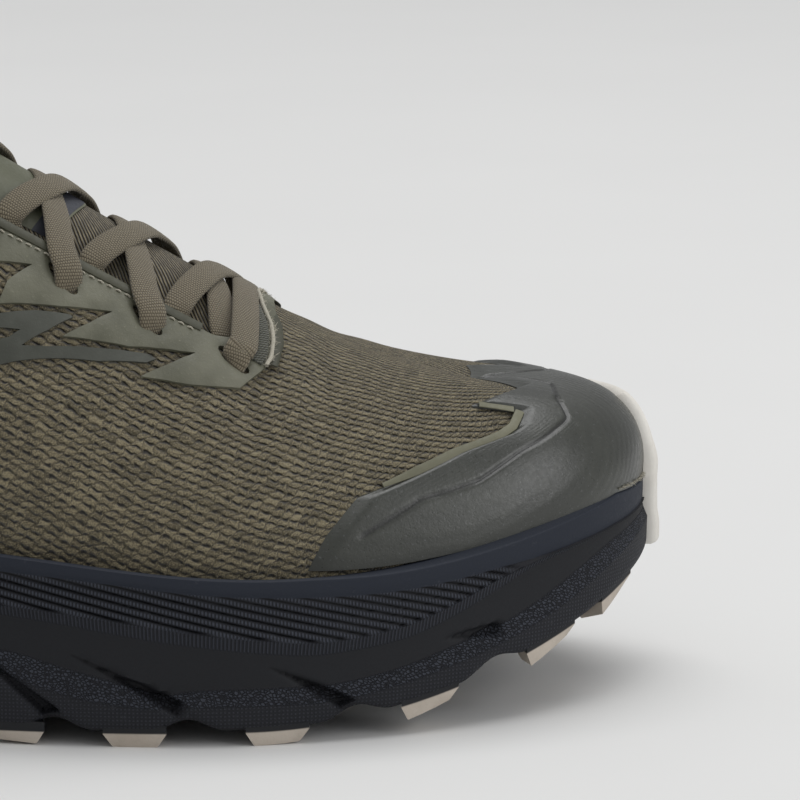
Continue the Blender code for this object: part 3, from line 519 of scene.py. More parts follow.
def oval(wide, high, count=12, square=2.6):
    """Places round a rounded oblong section, wide across and high up, as half sizes."""
    angle = np.arange(count) * 2 * math.pi / count
    c, s = np.cos(angle), np.sin(angle)
    radius = (np.abs(c) ** square + np.abs(s) ** square) ** (-1 / square)
    return np.stack([np.multiply.outer(wide, radius * c), np.multiply.outer(high, radius * s)], -1)


def band(name, centre, normal, wide, high, finish):
    """Flat rounded band along a line on the form. wide and high are half sizes."""
    across = np.cross(normal, np.gradient(centre, axis=0))
    wide, high, _ = np.broadcast_arrays(wide, high, centre[:, 0])
    ribbon(name, centre, across, oval(wide, high), [finish])


def line_distance(points, line):
    """Distance of each point from the nearest of a line's points, worked out in parts."""
    parts = [np.sqrt(((part[:, None] - line[None]) ** 2).sum(-1).min(1))
             for part in np.array_split(points.reshape(-1, points.shape[-1]), 24)]
    return np.concatenate(parts).reshape(points.shape[:-1])


# Slash grooves of the side: distance from the heel and height at the thin end and at the deep end.
SLASHES = (
    ((0.022, 0.0195), (0.040, 0.0080)), ((0.046, 0.0195), (0.068, 0.0075)),
    ((0.077, 0.0200), (0.098, 0.0070)), ((0.109, 0.0190), (0.129, 0.0070)),
    ((0.1395, 0.0225), (0.1596, 0.0068)), ((0.1626, 0.0193), (0.1854, 0.0083)),
    ((0.2035, 0.0164), (0.2205, 0.0080)), ((0.2395, 0.0196), (0.2521, 0.0204)),
)
# Half their width at the thin end, how much it grows and how far their low side bends.
SLASH_HALF_WIDTH = 0.0003
SLASH_WIDENS = 0.0014
SLASH_BENDS = 0.0004
# Slanted ribs of the side: how much of the length counts as height, their pitch in height, and the
# stretch along the last where they fade out.
RIB_SLOPE = 0.26
RIB_PITCH = 0.00174
RIBS_END = (0.250, 0.257)


# Finishes. A colour is three values of 0 to 255 as a screen shows them.

TURN = 2 * math.pi


def paint(red, green, blue):
    """Linear colour from values of 0 to 255 as a screen shows them."""
    c = np.array([red, green, blue]) / 255
    return (*np.where(c <= 0.04045, c / 12.92, ((c + 0.055) / 1.055) ** 2.4).tolist(), 1.0)


class Value:
    """A node's output that formulas use as a number, with a maths node for each step."""

    def __init__(self, finish, socket):
        self.finish, self.socket = finish, socket

    def __add__(self, other):
        return self.finish.math("ADD", self, other)

    def __sub__(self, other):
        return self.finish.math("SUBTRACT", self, other)

    def __rsub__(self, other):
        return self.finish.math("SUBTRACT", other, self)

    def __mul__(self, other):
        return self.finish.math("MULTIPLY", self, other)

    def __pow__(self, other):
        return self.finish.math("POWER", self, other)

    def __abs__(self):
        return self.finish.math("ABSOLUTE", self)

    def sine(self):
        return self.finish.math("SINE", self)

    def fract(self):
        return self.finish.math("FRACT", self)

    def floor(self):
        return self.finish.math("FLOOR", self)


class Finish:
    """A material and the calls that wire its nodes, each of which gives back a Value."""

    def __init__(self, name, roughness, sockets):
        self.material = bpy.data.materials.new(name)
        self.material.use_nodes = True
        self.tree = self.material.node_tree
        self.shader = self.tree.nodes["Principled BSDF"]
        for socket, value in {"Roughness": roughness, **sockets}.items():
            self.shader.inputs[socket].default_value = value

    def node(self, kind, inputs=(), output=0, **settings):
        made = self.tree.nodes.new("ShaderNode" + kind)
        for key, value in settings.items():
            setattr(made, key, value)
        for socket, value in dict(inputs).items():
            if isinstance(value, Value):
                self.tree.links.new(value.socket, made.inputs[socket])
            else:
                made.inputs[socket].default_value = value
        return Value(self, made.outputs[output])

    def math(self, operation, *values):
        return self.node("Math", dict(enumerate(values)), operation=operation)

    def place(self):
        return self.node("TexCoord", output="Object")

    def split(self, vector):
        sockets = self.node("SeparateXYZ", {0: vector}).socket.node.outputs
        return [Value(self, sockets[i]) for i in range(3)]

    def weave(self):
        return self.split(self.node("UVMap", uv_map="weave"))[:2]

    def join(self, x, y, z=0.0):
        return self.node("CombineXYZ", {0: x, 1: y, 2: z})

    def noise(self, vector, scale, detail=2.0, rough=0.5):
        inputs = {"Vector": vector, "Scale": scale, "Detail": detail, "Roughness": rough}
        return self.node("TexNoise", inputs, "Fac")

    def ramp(self, value, low, high, start=0.0, end=1.0):
        inputs = {"Value": value, 1: low, 2: high, 3: start, 4: end}
        return self.node("MapRange", inputs, interpolation_type="SMOOTHSTEP")

    def mix(self, factor, first, second):
        first, second = [paint(*c) if isinstance(c, tuple) else c for c in (first, second)]
        return self.node("Mix", {0: factor, 6: first, 7: second}, 2, data_type="RGBA")

    def done(self, colour, height=None, distance=0.0, rough=None):
        """Wires the colour, and the relief and the roughness where given. Gives the material."""
        links = {"Base Color": colour, "Roughness": rough}
        if height is not None:
            links["Normal"] = self.node("Bump", {"Height": height, "Distance": distance, "Strength": 1.0})
        for socket, value in links.items():
            if value is not None:
                self.tree.links.new(value.socket, self.shader.inputs[socket])
        return self.material


def knit_finish():
    """Braided knit in stitch counts: rows of slanted twisted lumps, each row half a lump on from
    the one below, a slit under each lump, darkened with painted shade as are the lumps' edges,
    fibres in it and its own shade of yarn."""
    sheen = {"Sheen Weight": 0.2, "Sheen Roughness": 0.5}
    f = Finish("upper_knit", 0.94, {**sheen, "Specular IOR Level": 0.12})
    # Colour of the painted shade in the slits and towards the lumps' edges.
    dark = (30, 26, 17)
    place = f.place()
    u, v = f.weave()
    drift, wander = f.noise(place, 140, 1) - 0.5, f.noise(place, 520, 1) - 0.5
    u = u + drift * 0.9 + wander * 0.7
    v = v + drift * 0.7 + wander * 0.32 + (u * TURN).sine() * 0.06
    up = v.fract() - 0.5
    turned = u + v.floor() * 0.5 + up * 0.55
    along = turned.fract() - 0.5
    x, y = abs(along * 2.0), abs((up + along * 0.22) * 2.0)
    rounded = 1.0 - f.math("MINIMUM", y, 1.0) ** 2.0
    ends = 1.0 - x ** 3.0 * 0.7
    patchy = f.ramp(f.noise(place, 300, 2), 0.30, 0.55, 0.25, 1.0)
    slit = f.ramp(y, 0.50, 0.88) * f.ramp(x, 0.85, 0.40) * patchy
    strand = ((turned * 2.0 + up * 1.6) * TURN).sine()
    fibre = f.noise(f.join(turned * 1.4, (v + turned) * 4.0), 3.6, 3, 0.6)
    fuzz = f.noise(place, 3300, 3, 0.75)
    height = rounded * ends - slit * 0.7 + strand * 0.04 + fibre * 0.12 + fuzz * 0.85
    shade = f.noise(f.join(turned.floor(), v.floor()), 1.7, 0) - 0.5
    tone = f.ramp(fibre * 0.2 + fuzz * 0.8 + shade * 0.25 + strand * 0.02, 0.38, 0.64)
    colour = f.mix(tone, (104, 96, 74), (182, 169, 136))
    # Painted shade: darker towards each lump's edges and in the slit under it.
    for share in (f.ramp(y, 0.35, 1.0) * 0.60, f.ramp(x, 0.80, 1.0) * 0.45, slit):
        colour = f.mix(share, colour, dark)
    return f.done(colour, height, 0.0012)


def film_finish(name, base, light, roughness=0.5, grain=900, depth=0.00005, flecks=0.25):
    """Smooth bonded film: fine grain, faint cloudy shade and small pale flecks of wear."""
    f = Finish(name, roughness, {"Specular IOR Level": 0.45})
    place = f.place()
    cloud = f.noise(place, 60, 3, 0.6)
    fine = f.noise(place, grain, 3, 0.65)
    fleck = f.ramp(f.noise(place, 1500, 2, 0.7), 0.60, 0.75)
    colour = f.mix(f.ramp(cloud, 0.3, 0.7, 0.0, 0.5), base, light)
    colour = f.mix(fleck * flecks, colour, light)
    rough = f.ramp(fine, 0.3, 0.7, roughness - 0.08, roughness + 0.1)
    return f.done(colour, fine + cloud * 2.0, depth, rough)


def cap_finish():
    """Dark satin film of the toe cap: soft cloud, fine grain, faint threads of the cloth beneath,
    and the embossed line, painted dark as painted shade, whose distance is the weave map's first place."""
    f = Finish("toe_cap_satin", 0.35, {"Specular IOR Level": 0.66})
    place = f.place()
    groove, _ = f.weave()
    cloud, fine = f.noise(place, 45, 3, 0.6), f.noise(place, 1300, 3, 0.7)
    x, y, z = f.split(place)
    thread = ((x * 0.25 + abs(y) * 0.8 + z * 0.6 + cloud * 0.003) * (TURN / 0.0015)).sine()
    mark = f.ramp(f.noise(place, 1900, 1), 0.68, 0.74)
    colour = f.mix(f.ramp(cloud, 0.3, 0.7), (43, 45, 40), (55, 57, 51))
    colour = f.mix(f.ramp(thread, -1.0, 0.6, 0.20, 0.0), colour, (40, 42, 38))
    colour = f.mix(mark * 0.25, colour, (120, 122, 124))
    # Painted shade along the embossed line.
    colour = f.mix(f.ramp(groove, 0.0009, 0.0002, 0.0, 0.75), colour, (18, 19, 18))
    return f.done(colour, thread * 0.12 + fine * 0.6, 0.0001, f.ramp(fine, 0.3, 0.7, 0.27, 0.40))


def rib_phase(along, height):
    """Count of the slanted ribs up to a place on the side: height plus a share of the length."""
    return (height + along * RIB_SLOPE) * (1 / RIB_PITCH)


def slash_mask(f, along, z, start, end):
    """Share of a slash groove at a place: one inside the wedge that widens towards its lower end."""
    (x0, z0), (x1, z1) = start, end
    length = math.hypot(x1 - x0, z1 - z0)
    a, b = (x1 - x0) / length, (z1 - z0) / length
    dx, dz = along - x0, z - z0
    run = dx * a + dz * b
    off = dz * a - dx * b
    wide = run * (SLASH_WIDENS / length) + SLASH_HALF_WIDTH
    inside = f.ramp(wide - abs(off + run * (SLASH_BENDS / length)), -0.0001, 0.0004)
    return inside * (f.ramp(run, 0.0, 0.001) * f.ramp(run, length + 0.0025, length - 0.0010))


def foam_finish():
    """Moulded midsole foam. The weave map's second place counts the bands of the side: pods with a
    grid of dots, the wrinkled ledge, the smooth band, the hatched ledge, dotted ribs, the lip."""
    f = Finish("midsole_foam", 0.62, {"Specular IOR Level": 0.16})
    u, band = f.weave()
    place = f.place()
    x, _, z = f.split(place)
    along = x - float(SHIFT[0])

    def wave(value, pitch, low, high):
        return f.ramp((value * (TURN / pitch)).sine(), low, high)

    def within(*edges):
        return f.ramp(band, *edges[:2]) * f.ramp(band, *edges[2:])

    fine = f.noise(place, 2200, 3, 0.7)
    dots = wave(u, 0.00080, -0.5, 0.7) * wave(z, 0.00080, -0.5, 0.7)
    hatch = wave(u, 0.00075, -0.8, 0.6)
    gap = abs(rib_phase(along, z).fract() * 2.0 - 1.0)
    beads = wave(u, 0.00070, -0.9, 0.6) * f.ramp(gap, 0.75, 0.25)
    bent = f.join(u + z * 0.5, z * 1.3, fine * 0.0006)
    cells = f.node("TexVoronoi", {"Vector": bent, "Scale": 1350}, "Distance", feature="DISTANCE_TO_EDGE")
    wrinkle = f.ramp(cells, 0.02, 0.20)
    pods = f.ramp(band, 1.02, 0.90)
    creased = within(0.88, 1.02, 2.06, 1.92)
    smooth = within(1.95, 2.05, 3.0, 2.92)
    ledge = within(2.95, 3.02, 4.05, 3.98)
    ribs = within(3.98, 4.05, 5.05, 4.97) * f.ramp(along, RIBS_END[1], RIBS_END[0])
    height = fine * 0.12
    reliefs = ((0.5, pods, dots), (1.7, creased, wrinkle), (0.9, ledge, hatch), (0.5, ribs, beads))
    for share, mask, pattern in reliefs:
        height = height + mask * pattern * share
    # Mask of the painted highlights on the crests of the wrinkles, the hatching and the rib beads.
    crest_highlights = creased * wrinkle * 0.52 + (ledge * hatch * 0.38 + ribs * beads * 0.70)
    worn = f.ramp(f.noise(place, 520, 3, 0.7), 0.64, 0.74)
    # Painted sheen: the lip is painted lighter and bluer than the rest of the side.
    colour = f.mix(f.ramp(band, 4.95, 5.05), (38, 39, 43), (43, 47, 56))
    # Painted highlights: the crests of the relief are painted lighter.
    colour = f.mix(crest_highlights, colour, (72, 76, 86))
    # Painted highlights on the raised dots of the pods.
    colour = f.mix(pods * dots * 0.42, colour, (70, 72, 80))
    # Painted shade in the gaps between the ribs.
    colour = f.mix(ribs * f.ramp(gap, 0.58, 0.92) * 0.90, colour, (12, 12, 15))
    colour = f.mix(worn * 0.22, colour, (84, 86, 92))
    colour = f.mix(smooth, colour, (37, 38, 41))
    # Painted shade in the slash grooves, weaker in the last one.
    for slash in SLASHES:
        dark = 0.2 if slash is SLASHES[-1] else 0.6
        groove = slash_mask(f, along, z, *slash) * f.ramp(band, 3.0, 2.9, 0.0, dark)
        colour = f.mix(groove, colour, (13, 13, 16))
    return f.done(colour, height, 0.0003, f.ramp(fine, 0.25, 0.75, 0.54, 0.70))


def rubber_finish(name, roughness, shine, layers):
    """The start of a moulded rubber: a faint cloud, and dust in the fine grain. layers are the base
    colour, the cloud's colour and share, and the dust's."""
    f = Finish(name, roughness, {"Specular IOR Level": shine})
    base, (cloudy, cloud_share), (dust, dust_share) = layers
    place = f.place()
    cloud, grain = f.noise(place, 70, 4, 0.65), f.noise(place, 1700, 3, 0.7)
    colour = f.mix(f.ramp(cloud, 0.35, 0.75, 0.0, cloud_share), base, cloudy)
    colour = f.mix(f.ramp(grain, 0.55, 0.8, 0.0, dust_share), colour, dust)
    return f, place, colour, grain


def bumper_finish():
    """Pale rubber of the toe bumper."""
    layers = (226, 223, 216), ((196, 190, 180), 0.55), ((196, 190, 180), 0.25)
    f, _, colour, grain = rubber_finish("bumper_rubber", 0.62, 0.4, layers)
    return f.done(colour, grain, 0.00006)


def tread_finish():
    """Outsole rubber: stone-coloured lugs, and above their height, which follows the sole's rocker,
    painted shade in the midsole's dark tone where the lugs meet the plate under the foam."""
    layers = (196, 186, 174), ((160, 149, 136), 0.6), ((150, 140, 128), 0.3)
    f, place, colour, grain = rubber_finish("outsole_rubber", 0.66, 0.3, layers)
    x, _, z = f.split(place)
    along = x - float(SHIFT[0])
    toe = f.math("MAXIMUM", along - (LAST_LENGTH - ROCKER_RUN), 0.0)
    heel = f.math("MAXIMUM", HEEL_ROCKER_START - along, 0.0)
    above = z - (toe * toe * (0.5 / ROCKER_RADIUS) + heel * heel * (0.5 / HEEL_ROCKER_RADIUS))
    # Painted shade: the lugs' tops next to the foam are painted dark.
    plate_shade = f.ramp(above, LUG_HEIGHT - 0.0007, LUG_HEIGHT - 0.0003)
    return f.done(f.mix(plate_shade, colour, (34, 35, 38)), grain, 0.00008)


def lace_finish():
    """Flat woven lace: short raised picks in rows across it, each row set half a pick on."""
    f = Finish("lace_weave", 0.9, {"Sheen Weight": 0.2, "Specular IOR Level": 0.2})
    u, v = f.weave()
    row = u * (1 / 0.00062)
    pick = (v * (1 / 0.00056) + row.floor() * 0.5).fract()
    across, along = abs(pick * 2.0 - 1.0), abs(row.fract() * 2.0 - 1.0)
    height = (1.0 - across ** 2.5) * (1.0 - along ** 2.5)
    fuzz = f.noise(f.place(), 3000, 2, 0.7)
    colour = f.mix(f.ramp(height * 0.65 + fuzz * 0.5, 0.15, 0.85), (78, 71, 58), (130, 121, 102))
    return f.done(colour, height + fuzz * 0.7, 0.0002)


def tongue_finish():
    """Ribbed knit of the tongue: dark grooves and pale threads that run across it."""
    f = Finish("tongue_ribs", 0.92, {"Sheen Weight": 0.2, "Specular IOR Level": 0.2})
    u, v = f.weave()
    bent = u + (f.noise(f.place(), 160, 2) - 0.5) * 0.0009 + abs(v) * 0.55
    rib = (bent * (TURN / 0.00100)).sine()
    thread = f.noise(f.join(bent, v * 0.35), 1500, 3, 0.6)
    colour = f.mix(f.ramp(rib, -0.9, 0.4), (42, 38, 30), (98, 90, 72))
    colour = f.mix(f.ramp(rib, 0.2, 0.9) * f.ramp(thread, 0.44, 0.62, 0.0, 0.8), colour, (158, 146, 118))
    return f.done(colour, rib * 0.5 + thread * 0.4, 0.0004)


def cloth_finish(name, dark, light, pitch=0.0012, depth=0.0003):
    """Plain woven lining: two crossing waves on object coordinates, and fuzz."""
    f = Finish(name, 0.95, {"Sheen Weight": 0.3, "Specular IOR Level": 0.15})
    place = f.place()
    x, y, z = f.split(place)
    one = ((x + z * 0.6) * (TURN / pitch)).sine()
    two = ((y + z - x) * (TURN / pitch)).sine()
    height = one * two * 0.5 + f.noise(place, 2500, 3, 0.7)
    return f.done(f.mix(f.ramp(height, 0.1, 1.0), dark, light), height, depth)


KNIT = knit_finish()
LINING = cloth_finish("collar_lining", (46, 44, 38), (88, 83, 70))
FILM = film_finish("olive_film", (84, 84, 69), (128, 127, 110), 0.52, 1500, 0.00010, 0.5)
TRIM = film_finish("trim_film", (96, 95, 76), (122, 120, 100), 0.55)
STRIP = film_finish("dark_grey_strip", (62, 64, 57), (92, 94, 86), 0.42, 1800, flecks=0.35)
SILVER = film_finish("silver_tip", (150, 156, 160), (190, 196, 200), 0.36, 1800, flecks=0.4)
PIPING = film_finish("piping_film", (58, 58, 44), (80, 80, 62))
BINDING = cloth_finish("edge_binding", (52, 53, 46), (92, 93, 80))
THREAD = cloth_finish("pale_thread", (150, 146, 130), (206, 200, 184), 0.0005, 0.0001)
PATCH = film_finish("tongue_patch_film", (84, 86, 68), (104, 105, 86), 0.45)
STRIPE = film_finish("tongue_patch_stripe", (44, 46, 54), (60, 63, 72))
CAP = cap_finish()
FOAM = foam_finish()
BUMPER = bumper_finish()
RUBBER = tread_finish()
LACE = lace_finish()
TONGUE = tongue_finish()
TONGUE_FUZZ = cloth_finish("tongue_fuzz", (96, 90, 72), (150, 140, 116), 0.0006)
INSOLE = cloth_finish("insole_cloth", (40, 40, 38), (78, 76, 70), 0.0015)


# Upper.

# Soft flex creases of the vamp: ring position on the outer side, how it moves with the sweep,
# depth in metres, width in ring positions, and the sweep where it is deepest.
CREASES = (
    (8.15, 0.50, 0.0007, 0.16, 0.95),
    (8.75, 0.35, 0.0006, 0.20, 1.05),
    (7.30, 0.60, 0.0005, 0.22, 0.80),
    (3.35, -0.60, 0.0007, 0.20, 0.55),
    (2.75, -0.50, 0.0005, 0.22, 0.50),
)


def soft_relief(ring, sweep):
    """Sum of the creases, bells across the ring and the sweep, and a slow wave of the cloth."""
    half = half_of(ring)
    depth = np.zeros(np.broadcast(ring, sweep).shape)
    for centre, turn, deep, wide, at in CREASES:
        middle = centre + turn * (sweep - at)
        depth -= deep * bump_shape(half, middle, wide) * bump_shape(sweep, at, 0.38)
        depth += 0.4 * deep * bump_shape(half, middle + 1.7 * wide, wide) * bump_shape(sweep, at, 0.38)
    wave = 0.00018 * np.sin(2.3 * ring + 3.1 * sweep) * np.sin(5.0 * sweep + 0.7 * ring)
    return np.minimum(depth + wave * np.sin(2 * np.clip(sweep, 0, RIDGE_SWEEP)), 0.00045)


def ring_stations(step, extra=()):
    """Ring positions of one side at about a step, with the extra ones among them."""
    base = np.linspace(0, HALF_RING, int(HALF_RING / step) + 1)
    extra = np.asarray(extra, float)
    if len(extra):
        base = base[np.abs(base[:, None] - extra[None, :]).min(1) > 0.3 * step]
    return np.sort(np.concatenate([base, extra]))


def both_sides(half):
    return np.concatenate([half, (RING - half[1:-1])[::-1]])


def stitch_map(ring, points):
    """Knit rows and stitches: rows halve the turn between the ridge and the lip, stitches count
    the length round the ring, and both get finer towards the toe."""
    mid = form(np.append(ring, RING), RIDGE_SWEEP / 2)
    half = half_of(np.append(ring, RING))
    pitch = 0.0024 - 0.0009 * smoothstep(half, 7.0, 9.5)
    step = np.linalg.norm(np.diff(mid, axis=0), axis=1) / ((pitch[1:] + pitch[:-1]) / 2)
    count = np.concatenate([[0], np.cumsum(step)])
    count = -np.abs(count - np.interp(HALF_RING, np.append(ring, RING), count))
    slope = np.interp(half, (5.0, 7.5, 9.5, 11.0), (0.30, 0.30, 0.22, 0.08))
    lean = np.concatenate([[0], np.cumsum(np.diff(count) * (slope[1:] + slope[:-1]) / 2)])
    arc = run_length(form(ring[None, :], np.linspace(0.02, RIDGE_SWEEP, 60)[:, None]))[-1]
    rise = run_length(points) + np.linalg.norm(points[0] - form(ring, 0.02), axis=-1)
    tall = 0.0020 - 0.0006 * smoothstep(half_of(ring), 7.0, 10.5)
    rows = (0.5 * arc - rise) / tall
    rows = np.concatenate([rows, rows[:, :1]], 1) - lean
    return np.stack([np.broadcast_to(count, rows.shape), rows], -1)


# Stations of the throat's round front: distances back from its tip.
NOSE_STEPS = (0, 0.0001, 0.0004, 0.001, 0.002, 0.0032, 0.0046, 0.0062, 0.008, 0.010, 0.012)


def build_upper():
    """Knit upper: the last's surface, a rolled rim round its mouth, and the lining inside."""
    front = half_at_along(THROAT_FRONT - np.array(NOSE_STEPS), "ridge")
    ring = both_sides(ring_stations(0.036, front))
    half = half_of(ring)
    vamp = half > front[0] - 1e-6
    top = np.where(vamp, RIDGE_SWEEP, edge_sweep(ring))
    low = sweep_at_rise(ring, last_at(ring)["bed"] + CLEARANCE)
    fade = collar_fade(half)
    rim = (UPPER_WALL + COLLAR_PADDING * fade) / 2
    rate = np.linalg.norm(form(ring, top + 0.01) - form(ring, top - 0.01), axis=-1) / 0.02
    roll = np.clip((front[0] - half) / 0.15, 0, 1) ** 0.5
    top = top - roll * rim / rate
    share = np.linspace(0, 1, 68)[:, None]
    sweep = low + (top - low) * share
    rings = np.broadcast_to(ring, sweep.shape)
    outer = form(rings, sweep, soft_relief(rings, sweep))
    normal = outward_normals(rings, sweep)
    wall = UPPER_WALL + COLLAR_PADDING * smoothstep(share, 0.45, 0.85) * fade
    inner = outer - normal * wall[..., None]
    edge, back = outer[-1], inner[-1]
    up = unit(outer[-1] - outer[-3])
    angle = np.linspace(0, math.pi, 11)[1:-1][:, None, None]
    middle, reach = (edge + back) / 2, (edge - back) / 2
    size = np.linalg.norm(reach, axis=-1, keepdims=True)
    rolled = middle + reach * np.cos(angle) + up * size * np.sin(angle) * roll[None, :, None]
    inside = inner[::-1][::2]
    points = np.concatenate([outer, rolled, inside])
    map_ = stitch_map(ring, outer)
    more = np.arange(1, len(points) - len(outer) + 1)[:, None]
    counted = np.broadcast_to(map_[-1, :, 0], (len(more), map_.shape[1]))
    uv = np.concatenate([map_, np.stack([counted, map_[-1, :, 1] - more * 0.5], -1), map_[:1]])
    faces, r, c = grid_faces(len(points), len(ring), True, True)
    closed = vamp[c % len(ring)] & vamp[(c + 1) % len(ring)]
    shown = ~((r >= len(outer) - 1) & (r < len(outer) + len(rolled)) & closed)
    corners = grid_uv(uv, r, c)
    lining = r >= len(outer) + len(rolled) // 2 + 1
    made = add_piece("knit_upper", points.reshape(-1, 3), faces[shown], [KNIT, LINING],
                     uv=corners[shown], index=lining[shown], sharp=60)
    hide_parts("upper")


# Midsole.

def slash_depth(along, height):
    """Depth of the slash grooves: wedges that get wider and deeper towards their lower end."""
    depth = np.zeros(np.broadcast(along, height).shape)
    for (x0, z0), (x1, z1) in SLASHES:
        length = math.hypot(x1 - x0, z1 - z0)
        run = ((along - x0) * (x1 - x0) + (height - z0) * (z1 - z0)) / length
        off = ((along - x0) * (z0 - z1) + (height - z0) * (x1 - x0)) / length
        share = np.clip(run / length, 0, 1)
        half_width = SLASH_HALF_WIDTH + SLASH_WIDENS * share
        inside = smoothstep(half_width - np.abs(off + SLASH_BENDS * share), -0.0002, 0.0007)
        ends = smoothstep(run, 0, 0.002) * smoothstep(length - run, -0.001, 0.0015)
        depth = np.maximum(depth, inside * ends * (0.0004 + 0.0022 * share))
    return depth


def lip_rise(ring):
    """How much the moulded lip's top departs from LIP_HEIGHT: a little higher at the side, lower
    round the toe."""
    share = last_at(ring)["edge"][..., 0] / LAST_LENGTH
    return np.interp(share, (0.75, 0.90, 0.976, 1.0), (0.0011, -0.0010, -0.0019, -0.0044))


def lip_height(ring):
    """Height of the moulded lip's top over the floor."""
    return last_at(ring)["bed"] + LIP_HEIGHT + lip_rise(ring)


def build_midsole():
    """Midsole: the underside, the six bands of the side, the lip, its inner wall and the footbed."""
    ring = both_sides(ring_stations(0.031))
    last = last_at(ring)
    along = last["edge"][:, 0]
    tops = eased(BAND_ROWS, along / LAST_LENGTH).T
    raised = lip_rise(ring)
    lip_out = np.interp(along / LAST_LENGTH, (0.80, 0.92), (LIP_OUT + 0.05, RIB_TOP_OUT + 0.02))
    normal = plan_normal(ring)
    low = LUG_HEIGHT + rocker((last["edge"] + normal * (last["flare"] * SKIRT_OUT)[:, None])[:, 0])
    skirt = SKIRT_HEIGHT / (last["bed"] + LIP_HEIGHT - low)
    levels = np.concatenate([[skirt], tops, [np.ones_like(skirt)]])
    outs = (SKIRT_OUT, POD_OUT, LEDGE_OUT, SMOOTH_OUT, NARROW_LEDGE_OUT, RIB_TOP_OUT, LIP_OUT)
    counts = (16, 9, 11, 6, 38, 11)
    rows, bands = [], []
    length = run_length(np.append(last["edge"], last["edge"][:1], 0))
    for band, count in enumerate(counts):
        for step in range(count):
            t = step / count
            share = levels[band] + (levels[band + 1] - levels[band]) * t
            out = outs[band] + (outs[band + 1] - outs[band]) * t
            if band == 5:
                out = RIB_TOP_OUT + (lip_out - RIB_TOP_OUT) * math.sin(min(t * 1.8, 1) * math.pi / 2)
            side = side_ring(ring, out, share, (1 - t) ** 1.5 if band == 0 else 0.0)
            phase = rib_phase(side[:, 0], side[:, 2])
            cord = np.sqrt(1 - (2 * (phase % 1) - 1) ** 2)
            deep = np.zeros(len(ring))
            if band == 4:
                deep = 0.00085 * (1 - cord) * smoothstep(t, 0.0, 0.06) * smoothstep(t, 1.0, 0.72)
                deep = deep + 0.0003 * smoothstep(t, 0.0, 0.05) * smoothstep(t, 1.0, 0.9)
            deep = deep * np.interp(along, RIBS_END, (1, 0))
            if band < 4:
                deep = deep + slash_depth(side[:, 0], side[:, 2])
            side[:, :2] -= normal * deep[:, None]
            side[:, 2] += raised * t if band == 5 else 0.0
            rows.append(side)
            bands.append(band + t)
    for angle in np.linspace(0.15, 1.0, 6) * math.pi / 2:
        side = side_ring(ring, lip_out - 0.12 * (1 - math.cos(angle)), 1.0)
        side[:, 2] += raised + 0.0004 * math.sin(angle) - 0.0004
        rows.append(side)
        bands.append(5.9)
    for share in (1.0, 0.6, 0.2, 0.0):
        rows.append(form(ring, sweep_at_rise(ring, last["bed"] + LIP_HEIGHT * share), CLEARANCE))
        bands.append(5.95)
    inset = last["edge"] + normal * (last["flare"] * SKIRT_OUT - PLATE_INSET)[:, None]
    floor = LUG_HEIGHT + rocker(inset[:, 0]) + scallop(inset[:, 0])
    under = [np.concatenate([inset, height[:, None]], -1) for height in (floor + RECESS_DEPTH, floor)]
    under += [side_ring(ring, SKIRT_OUT - 0.12 * (1 - share) ** 2, skirt * share, 1.0)
              for share in (0.0, 0.3, 0.7)]
    points = np.stack(under + rows)
    levels_at = np.array([0.5] * len(under) + bands)
    uv = np.stack(np.meshgrid(length, levels_at, indexing="xy"), -1)
    faces, r, c = grid_faces(len(points), len(ring), wrap_columns=True)
    corners = grid_uv(uv, r, c)
    faces = faces.tolist()
    count = len(ring)
    caps = []
    for base in (0, (len(points) - 1) * count):
        i = np.arange(1, count // 2 - 1)
        caps.append(np.stack([base + i, base + i + 1, base + count - i - 1, base + count - i], -1))
        caps.append(np.array([[base, base + 1, base + count - 1, base + count - 1]]))
        toe = base + count // 2
        caps.append(np.array([[toe, toe - 1, toe + 1, toe + 1]]))
    for quad in np.concatenate(caps).tolist():
        faces.append(list(dict.fromkeys(quad)))
    extra = sum(len(f) for f in faces[len(corners):])
    flat = np.concatenate([corners.reshape(-1, 2), np.tile([0.0, 5.97], (extra, 1))])
    made = add_piece("moulded_midsole", points.reshape(-1, 3), faces, [FOAM], uv=flat, sharp=50)
    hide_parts("midsole")


# Toe bumper: height of its top edge, how far it stands out, its size along and up its surface, and
# the pitch of its margin's hatching.
BUMPER_TOP = 0.0592
BUMPER_VISIBLE = 0.0020
BUMPER_LENGTH = 0.034
BUMPER_REACH = 0.045
HATCH_PITCH = 0.0011


